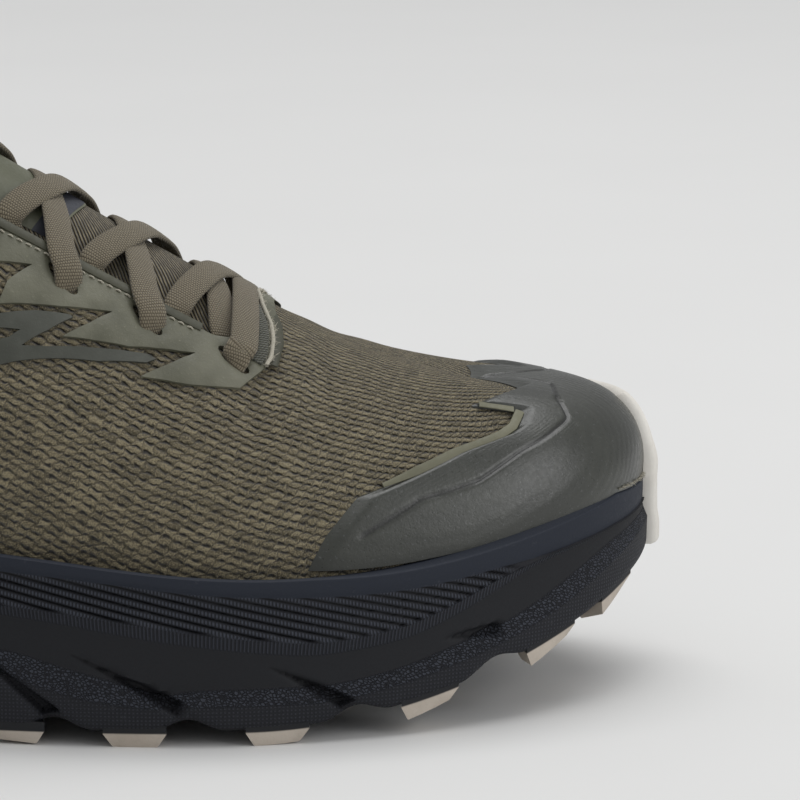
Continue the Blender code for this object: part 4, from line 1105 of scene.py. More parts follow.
def build_bumper():
    """Toe bumper: thin rubber from the sole's lower edge over the lip and onto the cap, its edges
    rolled, its near margin hatched and drawn back towards the toe's tip as it rises."""
    near, far = BUMPER_RING
    levels = np.concatenate([np.linspace(0.02, 1.04, 44), np.linspace(1.16, 2.0, 30)])
    drawn = near + 0.06 + 0.28 * smoothstep(levels, 0.9, 2.0)
    place = np.linspace(0, 1, 96)
    rows = []
    for level, start in zip(levels, drawn):
        ring = start + (far - start) * place
        last = last_at(ring)
        lip = lip_height(ring)
        if level < 1.1:
            low = LUG_HEIGHT + rocker(last["edge"][:, 0] + last["flare"])
            out = np.interp(level, (0.0, 0.34, 0.5, 1.0), (1.0, 1.0, 0.90, 0.88))
            plan = last["edge"] + plan_normal(ring) * (last["flare"] * out + 2 * CLEARANCE)[:, None]
            rows.append(np.concatenate([plan, (low + (lip - low) * level)[:, None]], -1))
        else:
            share = level - 1
            height = lip + (BUMPER_TOP - lip) * share
            out = 0.0016 + 0.0016 * max(0.0, 1 - share / 0.45)
            rows.append(form(ring, sweep_at_rise(ring, height), out))
    base = np.stack(rows)
    for _ in range(3):
        base[1:-1] = (base[:-2] + 2 * base[1:-1] + base[2:]) / 4
    normal = unit(np.cross(np.gradient(base, axis=1), np.gradient(base, axis=0)))
    for _ in range(6):
        normal[1:-1] = unit(normal[:-2] + 2 * normal[1:-1] + normal[2:])
    u = place[None, :]
    v = np.linspace(0, 1, len(base))[:, None]
    side = np.minimum(u, 1 - u) * BUMPER_LENGTH
    margin = np.minimum(side, np.minimum(v, 1 - v) * BUMPER_REACH)
    rolled = np.sqrt(1 - (1 - np.clip(margin / 0.0026, 0, 1)) ** 2)
    hatch = 0.00018 * (0.5 + 0.5 * np.sin(TURN * (v * BUMPER_REACH / HATCH_PITCH + u * 12)))
    hatch = hatch * (1 - smoothstep(side, 0.0016, 0.0024)) * smoothstep(margin, 0.0002, 0.0008)
    thick = BUMPER_VISIBLE * (0.12 + 0.88 * rolled) - hatch
    outer = base + normal * thick[..., None]
    made = shell("toe_wrap", outer, base - normal * 0.0012, [BUMPER], sharp=50)
    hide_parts("toe_bumper")
    glue_line()


def glue_line():
    """Pale crumbs of glue along the lower edge of the cap, on both sides of the bumper."""
    rng = np.random.default_rng(5)
    count = 260
    half = 12.75 - 1.0 * rng.random(count) ** 1.6
    ring = np.where(rng.random(count) < 0.75, half, RING - half)
    sweep = sweep_at_rise(ring, lip_height(ring) + 0.0008 + rng.uniform(0, 0.0005, count))
    normal = outward_normals(ring, sweep)
    root = form(ring, sweep, OVERLAY_GAP + 0.0005)
    drift = unit(rng.normal(0, 1, (count, 3)) * (1, 1, 0.35))
    length = rng.uniform(0.0004, 0.0010, count)
    tufts("cap_glue", root, unit(drift + 0.5 * normal), normal, THREAD, length, 0.00016)


# Toe cap.

# Rear edge of the cap on one side: ring position and sweep in degrees, from the lip to the ridge.
CAP_EDGE = (
    (8.42, 6.0), (8.45, 10.0), (8.60, 17.5), (8.88, 27.0), (9.47, 34.0), (9.80, 38.0), (10.33, 41.5),
    (10.52, 44.0), (10.70, 50.0), (10.46, 52.2), (10.18, 54.3), (10.62, 59.0), (11.28, 65.5),
    (11.35, 71.5), (11.45, 80.0), (11.50, 90.0),
)
# The inner side's edge runs back again beyond the ridge.
CAP_FAR = ((10.95, 72.0), (10.75, 78.0), (11.50, 90.0))
CAP_LINE = (
    (8.88, 17.5), (9.43, 26.0), (10.00, 29.0), (10.48, 35.5), (10.85, 39.0), (11.28, 44.0), (11.43, 52.5),
    (11.70, 58.0), (12.05, 63.0), (12.25, 75.0), (12.30, 89.0),
)
TRIM_LINE = ((9.10, 29.9), (9.47, 34.1), (9.82, 38.1), (10.34, 41.8), (10.53, 44.3), (10.72, 49.6))
TRIM_BACK = ((10.66, 50.6), (10.46, 52.6), (10.28, 54.0))
# Pitch of the grain's ridges.
CAP_GRAIN = 0.0014


def form_line(places, count, side, out):
    """Points on the last along places of ring position and sweep in degrees, and the normals."""
    line = resample(np.array(places) * (1, 0.16), count) / (1, 0.16)
    ring = line[:, 0] if side > 0 else RING - line[:, 0]
    sweep = np.radians(line[:, 1])
    return form(ring, sweep, out), outward_normals(ring, sweep)


def build_toe_cap():
    """Toe cap film: its rear edge is the cap's table, its faces carry a ridge grain and an embossed
    line, and its edge is rounded down onto the knit."""
    rows, columns = 110, 241
    share = np.linspace(0, 1, rows)[:, None]
    place = np.linspace(-1, 1, columns)[None, :]
    rears = []
    for table in (np.array(CAP_EDGE), np.array(CAP_EDGE[:-3] + CAP_FAR)):
        rear = np.full((rows, 1), 8.6)
        for _ in range(12):
            low = sweep_at_rise(rear, lip_height(rear) + CLEARANCE)
            sweep = low + (RIDGE_SWEEP - low) * share
            rear = 0.5 * rear + 0.5 * np.interp(np.degrees(sweep), table[:, 1], table[:, 0])
        rears.append(rear)
    ring = HALF_RING + place * (HALF_RING - np.where(place < 0, *rears))
    low = sweep_at_rise(ring, lip_height(ring) + CLEARANCE)
    sweep = low + (RIDGE_SWEEP - low) * share
    flat = form(ring, sweep, OVERLAY_GAP)
    inset = run_length(flat, 1)
    inset = np.minimum(inset, inset[:, -1:] - inset)
    drop = 1 - smoothstep(inset, -0.0008, 0.0045)
    lines = np.concatenate([form_line(CAP_LINE, 260, side, OVERLAY_GAP)[0] for side in (1, -1)])
    groove = line_distance(flat, lines)
    near, far = [flat @ np.array([0.45, across, 0.5]) / CAP_GRAIN for across in (0.75, -0.75)]
    phase = np.where(ring <= HALF_RING, near, far)
    ridges = 0.00002 * np.sin(TURN * phase) * smoothstep(inset, 0.001, 0.002)
    inside = smoothstep(groove, 0.0, 0.0011)
    relief = ridges * inside - 0.00040 * bump_shape(groove, 0, 0.00045)
    outer = form(ring, sweep, OVERLAY_GAP + OVERLAY_THICKNESS + relief - 0.00125 * drop)
    inner = form(ring, sweep, -0.0002)
    uv = np.stack([groove, inset], -1)
    made = shell("toe_cap_film", outer, inner, [CAP], borders="lrb", uv=uv, sharp=60)
    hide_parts("toe_cap")
    for side, label in ((1, "outer"), (-1, "inner")):
        for index, (line, wide, start) in enumerate(((TRIM_LINE, 0.0010, 0.5), (TRIM_BACK, 0.0009, 1.0))):
            centre, normal = form_line(line, 60, side, OVERLAY_GAP + 0.0002)
            taper = wide * np.append(np.linspace(start, 1, 12), np.ones(48))
            band(f"cap_trim_{label}_{index}", centre, normal, taper, 0.00022, TRIM)


# Eyestay.

# The eyestay's outer edge on one side: distance along the ridge line and to its side, from the
# front band to the top of the throat.
FINGERS = (
    (0.2052, 0.0080), (0.2049, 0.0180), (0.2039, 0.0252), (0.2011, 0.0290), (0.1971, 0.0332), (0.1872, 0.0354),
    (0.1774, 0.0365), (0.1830, 0.0336), (0.1884, 0.0301), (0.1748, 0.0332), (0.1614, 0.0345), (0.1669, 0.0319),
    (0.1716, 0.0290), (0.1607, 0.0311), (0.1482, 0.0327), (0.1500, 0.0300), (0.1550, 0.0268), (0.1440, 0.0288),
    (0.1310, 0.0312), (0.1345, 0.0285), (0.1390, 0.0256), (0.1270, 0.0274), (0.1120, 0.0290), (0.1010, 0.0275),
)
# Bent grey strips on the knit below the eyestay, and the silver tips in its windows.
STRIPS = (
    ((0.1440, 0.0350), (0.1482, 0.0336), (0.1557, 0.0324), (0.1628, 0.0316), (0.1636, 0.0318), (0.1586, 0.0341),
     (0.1530, 0.0361), (0.1586, 0.0358), (0.1689, 0.0346), (0.1786, 0.0332), (0.1806, 0.0334), (0.1786, 0.0344),
     (0.1689, 0.0361), (0.1586, 0.0369), (0.1482, 0.0377), (0.1400, 0.0380), (0.1425, 0.0366), (0.1482, 0.0358),
     (0.1505, 0.0355), (0.1528, 0.0347), (0.1482, 0.0348)),
    ((0.1482, 0.0254), (0.1527, 0.0250), (0.1482, 0.0281), (0.1440, 0.0290), (0.1425, 0.0268)),
    ((0.1180, 0.0330), (0.1300, 0.0322), (0.1345, 0.0322), (0.1290, 0.0342), (0.1250, 0.0360), (0.1340, 0.0356),
     (0.1420, 0.0352), (0.1350, 0.0366), (0.1200, 0.0378), (0.1210, 0.0362), (0.1240, 0.0344), (0.1180, 0.0342)),
)


# How far in from its edge a film is rounded, and the eyelet slots: half sizes, turn, and their shift
# from the eyelet places.
FILM_ROUNDING = 0.0007
SLOT_HALF_LENGTH = 0.0033
SLOT_HALF_WIDTH = 0.0014
SLOT_TURN = 0.42
SLOT_SHIFT = 0.0014
EYESTAY_TOP = 0.1010


def outline(places, step):
    """Closed loop through the places with points at about a step, corners kept."""
    p = np.array(places, float)
    legs = [np.linspace(a, b, max(int(np.hypot(*(b - a)) / step), 1), endpoint=False)
            for a, b in zip(p, np.roll(p, -1, 0))]
    return np.concatenate(legs)


def inside_loop(points, loop):
    """Even-odd test of points against a closed loop."""
    a, b = loop, np.roll(loop, -1, 0)
    x, y = points[:, :1], points[:, 1:]
    crosses = (a[None, :, 1] > y) != (b[None, :, 1] > y)
    rise = np.where(b[:, 1] == a[:, 1], 1e-12, b[:, 1] - a[:, 1])
    at = a[:, 0] + (y - a[:, 1]) / rise * (b[:, 0] - a[:, 0])
    return (crosses & (x < at)).sum(1) % 2 == 1


def inside_film(points, loops):
    """Points inside the first loop and outside the others."""
    inside = inside_loop(points, loops[0])
    for hole in loops[1:]:
        inside &= ~inside_loop(points, hole)
    return inside


def loop_distance(points, loops):
    closed = [np.append(loop, loop[:1], 0) for loop in loops]
    line = np.concatenate([resample(loop, max(len(loop) * 3 - 3, 30)) for loop in closed])
    return line_distance(points, line)


def cut_film(name, loops, step, lift, thick, finish, side=0):
    """Film cut to loops in the plane of distance along and to the side of the ridge line, the first
    one its outline and the others its holes, laid on the form with a rounded edge."""
    lo, hi = loops[0].min(0), loops[0].max(0)
    steps = np.arange(lo[0], hi[0], step), np.arange(lo[1], hi[1], step * 0.87)
    x, y = np.meshgrid(*steps, indexing="ij")
    x = x + (np.arange(x.shape[1]) % 2) * step / 2
    inner = np.stack([x.ravel(), y.ravel()], -1)
    inner = inner[inside_film(inner, loops)]
    inner = inner[loop_distance(inner, loops) > 0.55 * step]
    plane = np.concatenate(list(loops) + [inner])
    edges, base = [], 0
    for loop in loops:
        i = np.arange(len(loop))
        edges += (np.stack([i, (i + 1) % len(loop)], -1) + base).tolist()
        base += len(loop)
    found = delaunay_2d_cdt(plane.tolist(), edges, [], 1, 1e-7)
    places = np.array([tuple(v) for v in found[0]])
    triangles = np.array([f for f in found[2] if len(f) == 3])
    triangles = triangles[inside_film(places[triangles].mean(1), loops)]
    if side:
        places = places * (1, side)
    edge = loop_distance(np.abs(places) if side else places, loops)
    round_ = np.sqrt(1 - (1 - np.clip(edge / FILM_ROUNDING, 0, 1)) ** 2)
    high = lift + thick * (0.35 + 0.65 * round_)
    top = on_top(places[:, 0], places[:, 1], high)
    bottom = on_top(places[:, 0], places[:, 1], np.full(len(places), lift - 0.0004))
    count = len(places)
    pairs = np.concatenate([triangles[:, [0, 1]], triangles[:, [1, 2]], triangles[:, [2, 0]]])
    known = set(map(tuple, pairs.tolist()))
    border = np.array([p for p in pairs.tolist() if (p[1], p[0]) not in known])
    faces = triangles.tolist() + (triangles[:, ::-1] + count).tolist()
    faces += np.stack([border[:, 1], border[:, 0], border[:, 0] + count, border[:, 1] + count], -1).tolist()
    return add_piece(name, np.concatenate([top, bottom]), faces, [finish], sharp=55, merge=2e-6)


def slot_loop(along, side):
    """Long round hole of the eyelet, across the lace that runs into it."""
    angle = np.arange(22) * TURN / 22
    x, y = SLOT_HALF_LENGTH * np.cos(angle), SLOT_HALF_WIDTH * np.sin(angle)
    c, s = math.cos(SLOT_TURN), math.sin(SLOT_TURN)
    return np.stack([along + x * c - y * s, side + x * s + y * c], -1)


def build_eyestay():
    """Eyestay film round the throat with its fingers and slots, and the strips below it."""
    run = np.linspace(EYESTAY_TOP, THROAT_FRONT - 0.0003, 110)
    inner = np.stack([run, throat_half_gap(run) + 0.0006], -1)
    near = np.concatenate([[[0.2053, 0.0]], FINGERS, inner, [[THROAT_FRONT + 0.0002, 0.0]]])
    far = near[1:-1][::-1] * (1, -1)
    loop = outline(np.concatenate([near, far]), 0.0008)
    along, side = eyelet_places()
    holes = [slot_loop(a, s - SLOT_SHIFT) for a, s in zip(along, side)]
    holes += [hole * (1, -1) for hole in holes]
    lift = OVERLAY_GAP - 0.0002
    film = cut_film("eyestay_film", [loop] + holes, 0.0011, lift, OVERLAY_THICKNESS, FILM)
    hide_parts("eyestay")
    for side_sign, label in ((-1, "outer"), (1, "inner")):
        for index, strip in enumerate(STRIPS):
            loop = outline(strip, 0.0006)
            tone = SILVER if index == 1 else STRIP
            name = f"grey_strip_{label}_{index}"
            cut_film(name, [loop], 0.0012, 0.0003, 0.00035, tone, side=side_sign)


def throat_line(offset):
    """Places along the throat's edge at an offset outwards from it, along and to the side."""
    along = np.linspace(0.103, THROAT_FRONT - 0.0125, 200)
    return along, throat_half_gap(along) + offset


# Places of the dark band and of the frayed line across the front: distance to the side of the
# ridge line and along it.
FRONT_BAND = ((0.0, 0.2032), (0.005, 0.2036), (0.0133, 0.2052), (0.020, 0.2051), (0.0265, 0.2036))
FRONT_LINE = (
    (0.0, 0.2016), (0.0087, 0.2022), (0.0158, 0.2037), (0.0205, 0.2039), (0.0252, 0.2033), (0.0275, 0.2022),
)
# Stitches along the throat.
STITCH_PITCH = 0.0021
STITCH_LENGTH = 0.0014
STITCH_HALF_WIDTH = 0.00021


def front_line(table, count=90):
    """Even places across the front on both sides of the ridge line, from a table for one side."""
    table = np.array(table)
    side = np.linspace(-1, 1, count) * table[-1, 0]
    return side, np.interp(np.abs(side), table[:, 0], table[:, 1])


def build_throat_edges():
    """Rolled piping along both throat edges, its stitches, and the front band with frayed binding."""
    for sign, label in ((-1, "outer"), (1, "inner")):
        along, side = throat_line(0.0005)
        centre = on_top(along, sign * side, OVERLAY_GAP + OVERLAY_THICKNESS * 0.7)
        normal = top_normal(along, sign * side)
        band(f"throat_piping_{label}", centre, normal, 0.00115, 0.00040, PIPING)
        stitches("throat_stitches_" + label, *throat_line(0.0018), sign)
    bands = (
        (FRONT_BAND, 0.0, 0.2, 0.0013, 0.0002, PIPING),
        (FRONT_LINE, 0.0, 1.1, 0.00042, 0.00042, THREAD),
        (FRONT_LINE, -0.0019, 1.0, 0.0013, 0.0002, BINDING),
    )
    for index, (table, shift, lift, wide, high, finish) in enumerate(bands):
        side, along = front_line(table)
        along = along + shift
        centre = on_top(along, side, OVERLAY_GAP + OVERLAY_THICKNESS * lift)
        band(f"front_band_{index}", centre, top_normal(along, side), wide, high, finish)
    fray()


def tufts(name, centre, direction, normal, finish, length, thick):
    """Short bent fibres, each a three-sided tapering tube from its root along its direction."""
    t = np.array([0.0, 0.4, 0.75, 1.0])
    n = len(centre)
    side = unit(np.cross(direction, normal))
    bend = (t**2)[None, :, None] * normal[:, None] * 0.35
    path = centre[:, None] + (direction[:, None] * t[None, :, None] + bend) * length[:, None, None]
    angle = (np.arange(3) * TURN / 3)[:, None]
    ring = side[:, None, None] * np.cos(angle) + normal[:, None, None] * np.sin(angle)
    size = thick * (1 - 0.75 * t)[None, :, None, None]
    points = (path[:, :, None] + ring * size).reshape(-1, 3)
    faces, _, _ = grid_faces(4, 3, wrap_columns=True)
    ends = np.array([[2, 1, 0, 0], [9, 10, 11, 11]])
    one = np.concatenate([faces, ends])
    all_faces = (one[None] + (np.arange(n) * 12)[:, None, None]).reshape(-1, 4)
    add_piece(name, points, [list(dict.fromkeys(f)) for f in all_faces.tolist()], [finish], merge=0)


def fray():
    """Cut white threads along the front binding."""
    rng = np.random.default_rng(7)
    count = 420
    side = rng.uniform(-1, 1, count) * FRONT_LINE[-1][0]
    table = np.array(FRONT_LINE)
    along = np.interp(np.abs(side), table[:, 0], table[:, 1]) + rng.normal(0, 0.00035, count)
    root = on_top(along, side, np.full(count, OVERLAY_GAP + OVERLAY_THICKNESS - 0.0002))
    normal = top_normal(along, side)
    drift = [rng.normal(middle, spread, count) for middle, spread in ((0.3, 0.7), (0, 0.8), (0, 0.3))]
    drift = unit(np.stack(drift, -1))
    direction = unit(drift - normal * (drift * normal).sum(-1, keepdims=True) + normal * 0.25)
    length = rng.uniform(0.0006, 0.0013, count)
    tufts("front_fray", root, direction, normal, THREAD, length, 0.00013)


def stitches(name, along, side, sign):
    """A row of short stitches along a line near the throat, each a rounded bar sunk at its ends."""
    rows, sides = 7, 6
    run = run_length(on_top(along, sign * side, OVERLAY_GAP + OVERLAY_THICKNESS))
    starts = np.arange(0.001, run[-1] - STITCH_PITCH, STITCH_PITCH)
    t = np.linspace(0, 1, rows)
    at = starts[:, None] + t[None, :] * STITCH_LENGTH
    along, side = np.interp(at, run, along), sign * np.interp(at, run, side)
    lift = OVERLAY_GAP + OVERLAY_THICKNESS - 0.00025 + 0.00034 * np.sin(math.pi * t)
    centre = on_top(along, side, np.broadcast_to(lift, at.shape))
    normal = top_normal(along, side)
    across = np.cross(normal, unit(np.gradient(centre, axis=1)))
    angle = (np.arange(sides) * TURN / sides)[:, None]
    ring = across[:, :, None] * np.cos(angle) + normal[:, :, None] * np.sin(angle)
    points = (centre[:, :, None] + ring * STITCH_HALF_WIDTH).reshape(-1, 3)
    faces, _, _ = grid_faces(rows, sides, wrap_columns=True)
    end = np.arange(sides)
    one = faces.tolist() + [end[::-1].tolist(), (end + (rows - 1) * sides).tolist()]
    all_faces = [[v + rows * sides * k for v in face] for k in range(len(starts)) for face in one]
    add_piece(name, points, all_faces, [THREAD], merge=0)


# Tongue.

def tongue_half_width(along):
    """Half the tongue's width: the throat's half gap and the overlap, not less than at its front."""
    return np.maximum(throat_half_gap(along), THROAT_HALF_GAP_FRONT) + TONGUE_OVERLAP


def tongue_place(half, across):
    """Points of the tongue's surface and its thickness: it follows the arch between the throat's
    edges, rises as a soft crown between them and tucks under them."""
    along = last_at(half)["ridge"][..., 0]
    wide = tongue_half_width(along)
    sweep = sweep_at_side(half, wide * np.maximum(np.abs(across), 1e-4))
    sweep = np.where(across == 0, RIDGE_SWEEP, sweep)
    inside = np.minimum(throat_half_gap(along) - wide * np.abs(across), THROAT_FRONT - along)
    crown = smoothstep(inside - TONGUE_CROWN, 0, TONGUE_CROWN_RUN)
    out = -UPPER_WALL - 3 * CLEARANCE + TONGUE_CROWN * crown
    out = out - 1.2 * COLLAR_PADDING * collar_fade(half - 0.35)
    return np.where(across < 0, half, RING - half), sweep, out, wide


def build_tongue():
    """Tongue: a ribbed knit pad, thicker towards its top, with rounded edges."""
    front = float(half_at_along(THROAT_FRONT + TONGUE_OVERLAP + 0.002, "ridge"))
    half = np.linspace(front, TONGUE_TOP_RING, 190)[:, None]
    across = np.linspace(-1, 1, 121)[None, :]
    half, across = np.broadcast_arrays(half, across)
    ring, sweep, out, wide = tongue_place(half, across)
    outer = form(ring, sweep, out)
    normal = outward_normals(ring, sweep)
    padding = TONGUE_THICKNESS + TONGUE_PADDING * np.clip((5.4 - half) / 0.7, 0, 1)
    edge = 1 - np.abs(across) ** 4 * 0.65
    tip = smoothstep(half, TONGUE_TOP_RING - 0.02, TONGUE_TOP_RING + 0.22) ** 0.5
    drop = padding * 0.28 * (1 - tip)
    thick = padding * edge * (0.45 + 0.55 * tip)
    outer = outer - normal * drop[..., None]
    inner = outer - normal * thick[..., None]
    length = run_length(outer)
    uv = np.stack([length + 0.004 * np.abs(across) ** 2, across * wide], -1)
    made = shell("ribbed_tongue", outer, inner, [TONGUE], uv=uv, sharp=60)
    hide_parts("tongue")
    patch(0.1010, 0.1660, 0.0105, PATCH, "tongue_patch", 0.00035)
    patch(0.1618, 0.1656, 0.0105, STRIPE, "tongue_patch_stripe", 0.00045)
    tongue_fuzz()


def tongue_fuzz():
    """Loose fibres along the tongue's top edge."""
    rng = np.random.default_rng(11)
    count = 500
    spot = rng.uniform(-0.85, 0.85, count)
    ring, sweep, out, _ = tongue_place(np.full(count, TONGUE_TOP_RING + 0.02), spot)
    normal = outward_normals(ring, sweep)
    depth = rng.uniform(0.002, 0.0065, count)
    root = form(ring, sweep, out - depth)
    below = tongue_place(np.full(count, TONGUE_TOP_RING + 0.3), spot)[:2]
    up = unit(form(ring, sweep, out) - form(*below, out))
    direction = unit(up + rng.normal(0, 0.45, (count, 3)))
    length = rng.uniform(0.0006, 0.0018, count)
    tufts("tongue_fuzz", root, direction, normal, TONGUE_FUZZ, length, 0.00014)


def patch(start, end, reach, finish, name, lift):
    """Film patch welded on the tongue's crown, its lower end cut on the slant."""
    halves = half_at_along(np.linspace(start, end, 60), "ridge")[:, None]
    share = np.linspace(-1, 1, 61)[None, :]
    halves, share = np.broadcast_arrays(halves, share)
    along = last_at(halves)["ridge"][..., 0]
    wide = tongue_half_width(along)
    slant = half_at_along(along - 0.006 * np.abs(share) ** 1.5, "ridge")
    ring, sweep, out, _ = tongue_place(slant, share * (reach + 0.008) / wide)
    border = np.minimum((1 - np.abs(share)) * reach, 0.001 + 0 * share) / 0.001
    outer = form(ring, sweep, out + lift * (0.3 + 0.7 * np.sqrt(np.clip(border, 0, 1))))
    inner = form(ring, sweep, out - 0.0006)
    shell(name, outer, inner, [finish], sharp=60)


# Laces.

def lace(name, places, narrow_start, narrow_end):
    """Flat lace through places of (along, side, height over the form): a smooth curve, its section
    a flat rounded band that is drawn in where it dives."""
    line = spline(places, 90)
    centre = on_top(line[:, 0], line[:, 1], line[:, 2])
    flat = on_top(line[:, 0], line[:, 1], 0.002)
    across = np.cross(top_normal(line[:, 0], line[:, 1]), np.gradient(flat, axis=0))
    for _ in range(12):
        even = unit(across)
        across[1:-1] = even[:-2] + 2 * even[1:-1] + even[2:]
    t = np.linspace(0, 1, 90)
    start, end = 1 - smoothstep(t, 0, 0.10), smoothstep(t, 0.88, 1.0)
    wide = 0.5 * LACE_WIDTH * (1 - narrow_start * start - narrow_end * end)
    profile = oval(wide, np.full(90, LACE_THICKNESS / 2), 20, 3.2)
    profile[..., 1] -= 0.00012 * (profile[..., 0] / (LACE_WIDTH / 2)) ** 2
    return ribbon(name, centre, across, profile, [LACE], sharp=70)


# How far in from the eyelet places the laces come through, and the middle height of a lace that
# crosses over and how far it bows forwards.
LACE_SHIFT = 0.0018
OVER_HEIGHT = 0.0016
OVER_BOW = 0.0022


def build_laces():
    """Lacing: the bar across the front and crossings that come up through a slot, cross over the
    tongue, dive beneath the far edge and come up through the next slot."""
    along, side = eyelet_places()
    side = side - LACE_SHIFT
    on_film = OVERLAY_GAP + OVERLAY_THICKNESS + LACE_THICKNESS / 2 + 0.0001
    gap = throat_half_gap(np.minimum(along, THROAT_FRONT - THROAT_NOSE))
    a, s, g = along[0], side[0], gap[0]
    half = [(a - 0.0012, s + 0.0016, -0.0030), (a, s + 0.0010, 0.0008),
            (a + 0.0006, s - 0.0012, on_film + 0.0003), (a + 0.0016, g + 0.001, on_film + 0.0004),
            (a + 0.0026, 0.5 * g, on_film - 0.0006)]
    bar = [(x, -y, z) for x, y, z in half] + [(a + 0.0030, 0, on_film - 0.0010)] + half[::-1]
    pieces = [lace("lace_bar", bar, 0.15, 0.15)]
    for level in range(EYELET_COUNT - 1):
        for sign, over in ((-1, False), (1, True)):
            a0, s0, g0 = along[level], side[level], gap[level]
            a1, s1, g1 = along[level + 1] + 0.0062, side[level + 1], gap[level + 1]
            a0, a1 = (a0 + 0.0055, a1) if over else (a0, a1 + 0.0030)
            middle = OVER_HEIGHT if over else 0.0001
            bow = OVER_BOW if over and level else 0.0
            if level:
                places = [(a0 + 0.0020, s0 + 0.0022, -0.0030), (a0 + 0.0012, s0 + 0.0012, 0.0006),
                          (a0 + 0.0004, s0 - 0.0008, on_film + 0.0003),
                          (a0 - 0.0012, g0 - 0.0008, on_film + 0.0002)]
            else:
                places = [(a0 - 0.0006, s0 - 0.0040, -0.0036), (a0 - 0.0012, g0 - 0.0025, -0.0012)]
            for share in (0.30, 0.5, 0.70):
                x = a0 + share * (a1 - a0) + bow * math.sin(math.pi * share)
                height = middle + (0.0004 - middle) * (2 * share - 1) ** 2
                places.append((x, g0 - share * (g0 + g1), height))
            places += [(a1 + 0.0006, 0.0034 - g1, -0.0006), (a1 + 0.0010, 0.0004 - g1, -0.0027),
                       (a1 + 0.0010, 0.001 - s1, -0.0034)]
            places = [(x, sign * y, z) for x, y, z in places]
            label = "over" if over else "under"
            pieces.append(lace(f"lace_{label}_{level}", places, 0.12 if level else 0.3, 0.2))
    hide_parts("laces")


# Edge lugs as shares of the last's length, their size and the middle lugs' places and size.
EDGE_LUGS = (0.095, 0.192, 0.295, 0.403, 0.541, 0.626, 0.724, 0.832, 0.922, 0.974)
MIDDLE_LUGS = (0.05, 0.14, 0.23, 0.32, 0.42, 0.50, 0.585, 0.67, 0.755, 0.84, 0.92)
EDGE_LUG_LENGTH = 0.0125
EDGE_LUG_DEPTH = 0.0105
MIDDLE_LUG_SIZE = 0.0062


def sole_inset(ring, inset):
    last = last_at(ring)
    return last["edge"] + plan_normal(ring) * (last["flare"] * SKIRT_OUT - inset)[..., None]


def lug_rings(outline_, chamfer):
    """Three levels of a lug: sunk in the foam, at its shoulder and at the tread, where its corners
    are drawn in by the chamfer along and half of it across."""
    centre = outline_.mean(0)
    height = LUG_HEIGHT + rocker(outline_[:, 0])
    ground = rocker(outline_[:, 0])
    reach = np.abs(outline_ - centre).max(0)
    tread = centre + (outline_ - centre) * (1 - np.array([chamfer, 0.5 * chamfer]) / reach)
    bevel = centre + (outline_ - centre) * (1 - np.array([0.82 * chamfer, 0.36 * chamfer]) / reach)
    levels = ((outline_, height + 0.0012), (outline_, height - 0.0006),
              (bevel, ground + 0.0004), (tread, ground))
    return np.stack([np.concatenate([xy, z[:, None]], -1) for xy, z in levels])


def build_outsole():
    """Outsole: pale chamfered lugs along both edges and down the middle, sunk in the dark foam."""
    rings = []
    dense = np.linspace(0, HALF_RING, 1301)
    edge = last_at(dense)["edge"]
    run = run_length(edge)
    for place in EDGE_LUGS:
        corners = EDGE_LUG_LENGTH * np.array([-0.5, -0.2, 0.2, 0.5])
        at = np.interp(place * LAST_LENGTH, edge[:, 0], run) + corners
        half = np.interp(at, run, dense)
        for ring in (half, RING - half):
            outer, inner = sole_inset(ring, 0.0004), sole_inset(ring[::-1], EDGE_LUG_DEPTH)[1:3]
            rings.append(lug_rings(np.concatenate([outer, inner]), 0.0021))
    for place in MIDDLE_LUGS:
        half = float(half_at_along(place * LAST_LENGTH))
        outer, inner = sole_inset(np.array([half, RING - half]), 0)
        wide = np.linalg.norm(inner - outer)
        room = wide - 2 * EDGE_LUG_DEPTH
        for side in (-0.25, 0.25) if room > 5.2 * MIDDLE_LUG_SIZE else (0,):
            centre = (outer + inner) / 2 + (inner - outer) / wide * room * side
            angle = np.radians([0, 55, 125, 180, 235, 305])
            corners = np.stack([np.cos(angle), np.sin(angle)], 1) * MIDDLE_LUG_SIZE
            rings.append(lug_rings(centre + corners, 0.0014))
    points, faces = [], []
    for block in rings:
        base = sum(len(p) for p in points)
        grid, _, _ = grid_faces(4, 6, wrap_columns=True)
        flat = block[:, :, :2].mean((0, 1))
        turn = np.cross(block[0, 0, :2] - flat, block[0, 1, :2] - flat)
        quads = grid.tolist() + [[5, 4, 3, 2, 1, 0], [18, 19, 20, 21, 22, 23]]
        faces += [[base + v for v in (q[::-1] if turn > 0 else q)] for q in quads]
        points.append(block.reshape(-1, 3))
    made = add_piece("outsole_lugs", np.concatenate(points), faces, [RUBBER], sharp=25, merge=0)
    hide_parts("outsole")


def dress_nodes():
    """Finish of the insole, the solid that is shown as it is."""
    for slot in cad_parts["insole"].material_slots:
        slot.material = INSOLE


# Studio.

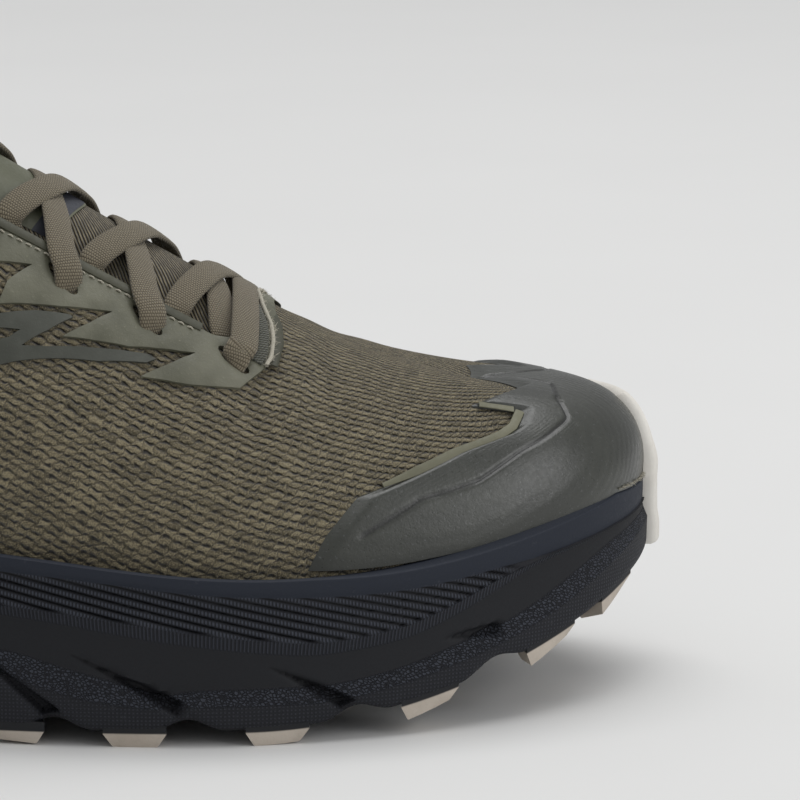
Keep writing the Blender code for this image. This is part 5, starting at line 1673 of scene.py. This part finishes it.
def build_studio():
    """Pale floor, an even sky, a large soft light above and a weaker one in front."""
    mesh = bpy.data.meshes.new("floor")
    mesh.from_pydata([(-6, -6, 0), (6, -6, 0), (6, 6, 0), (-6, 6, 0)], [], [(0, 1, 2, 3)])
    floor = bpy.data.objects.new("floor", mesh)
    bpy.context.scene.collection.objects.link(floor)
    card = Finish("floor_card", 0.9, {"Specular IOR Level": 0.2})
    tone = card.mix(card.noise(card.place(), 9, 2), (228, 228, 227), (225, 225, 224))
    mesh.materials.append(card.done(tone))
    world = bpy.data.worlds.new("studio")
    world.use_nodes = True
    world.node_tree.nodes["Background"].inputs["Color"].default_value = (0.985, 0.99, 1.0, 1.0)
    world.node_tree.nodes["Background"].inputs["Strength"].default_value = 0.42
    bpy.context.scene.world = world
    for name, place, aim, size, power in (
            ("soft_top", (0.35, 0.45, 2.2), (0.15, 0.35, 0), 2.0, 31.0),
            ("soft_front", (1.15, -0.60, 0.62), (0.12, 0, 0.05), 0.8, 4.6)):
        data = bpy.data.lights.new(name, "AREA")
        data.size = size
        data.energy = power
        light = bpy.data.objects.new(name, data)
        light.location = place
        light.rotation_euler = aim_at(place, aim)
        bpy.context.scene.collection.objects.link(light)


def aim_at(place, target):
    """Turn of a light or camera at a place so that it looks at the target."""
    return (Vector(target) - Vector(place)).to_track_quat("-Z", "Y").to_euler()


CAMERA_AZIMUTH = math.radians(2.0)
CAMERA_HEIGHT_ANGLE = math.radians(11.0)
CAMERA_DISTANCE = 1.15
CAMERA_TARGET = (0.0929, 0.0, 0.0615)
PIXELS_PER_METRE = 4670.0
FRAME_PIXELS = 800


def build_camera():
    """Camera at the photograph's angle: towards the target from the outer side, a little above."""
    az, el = CAMERA_AZIMUTH, CAMERA_HEIGHT_ANGLE
    back = np.array([-math.sin(az) * math.cos(el), -math.cos(az) * math.cos(el), math.sin(el)])
    place = np.array(CAMERA_TARGET) + back * CAMERA_DISTANCE
    data = bpy.data.cameras.new("camera")
    data.sensor_width = 36.0
    data.lens = 36.0 * PIXELS_PER_METRE * CAMERA_DISTANCE / FRAME_PIXELS
    data.clip_start = 0.01
    camera = bpy.data.objects.new("camera", data)
    camera.location = place.tolist()
    camera.rotation_euler = aim_at(place.tolist(), CAMERA_TARGET)
    bpy.context.scene.collection.objects.link(camera)
    bpy.context.scene.camera = camera


build_camera()
build_studio()
build_upper()
build_midsole()
build_bumper()
build_toe_cap()
build_eyestay()
build_throat_edges()
build_tongue()
build_laces()
build_outsole()
dress_nodes()
bpy.context.scene.view_settings.view_transform = "Standard"
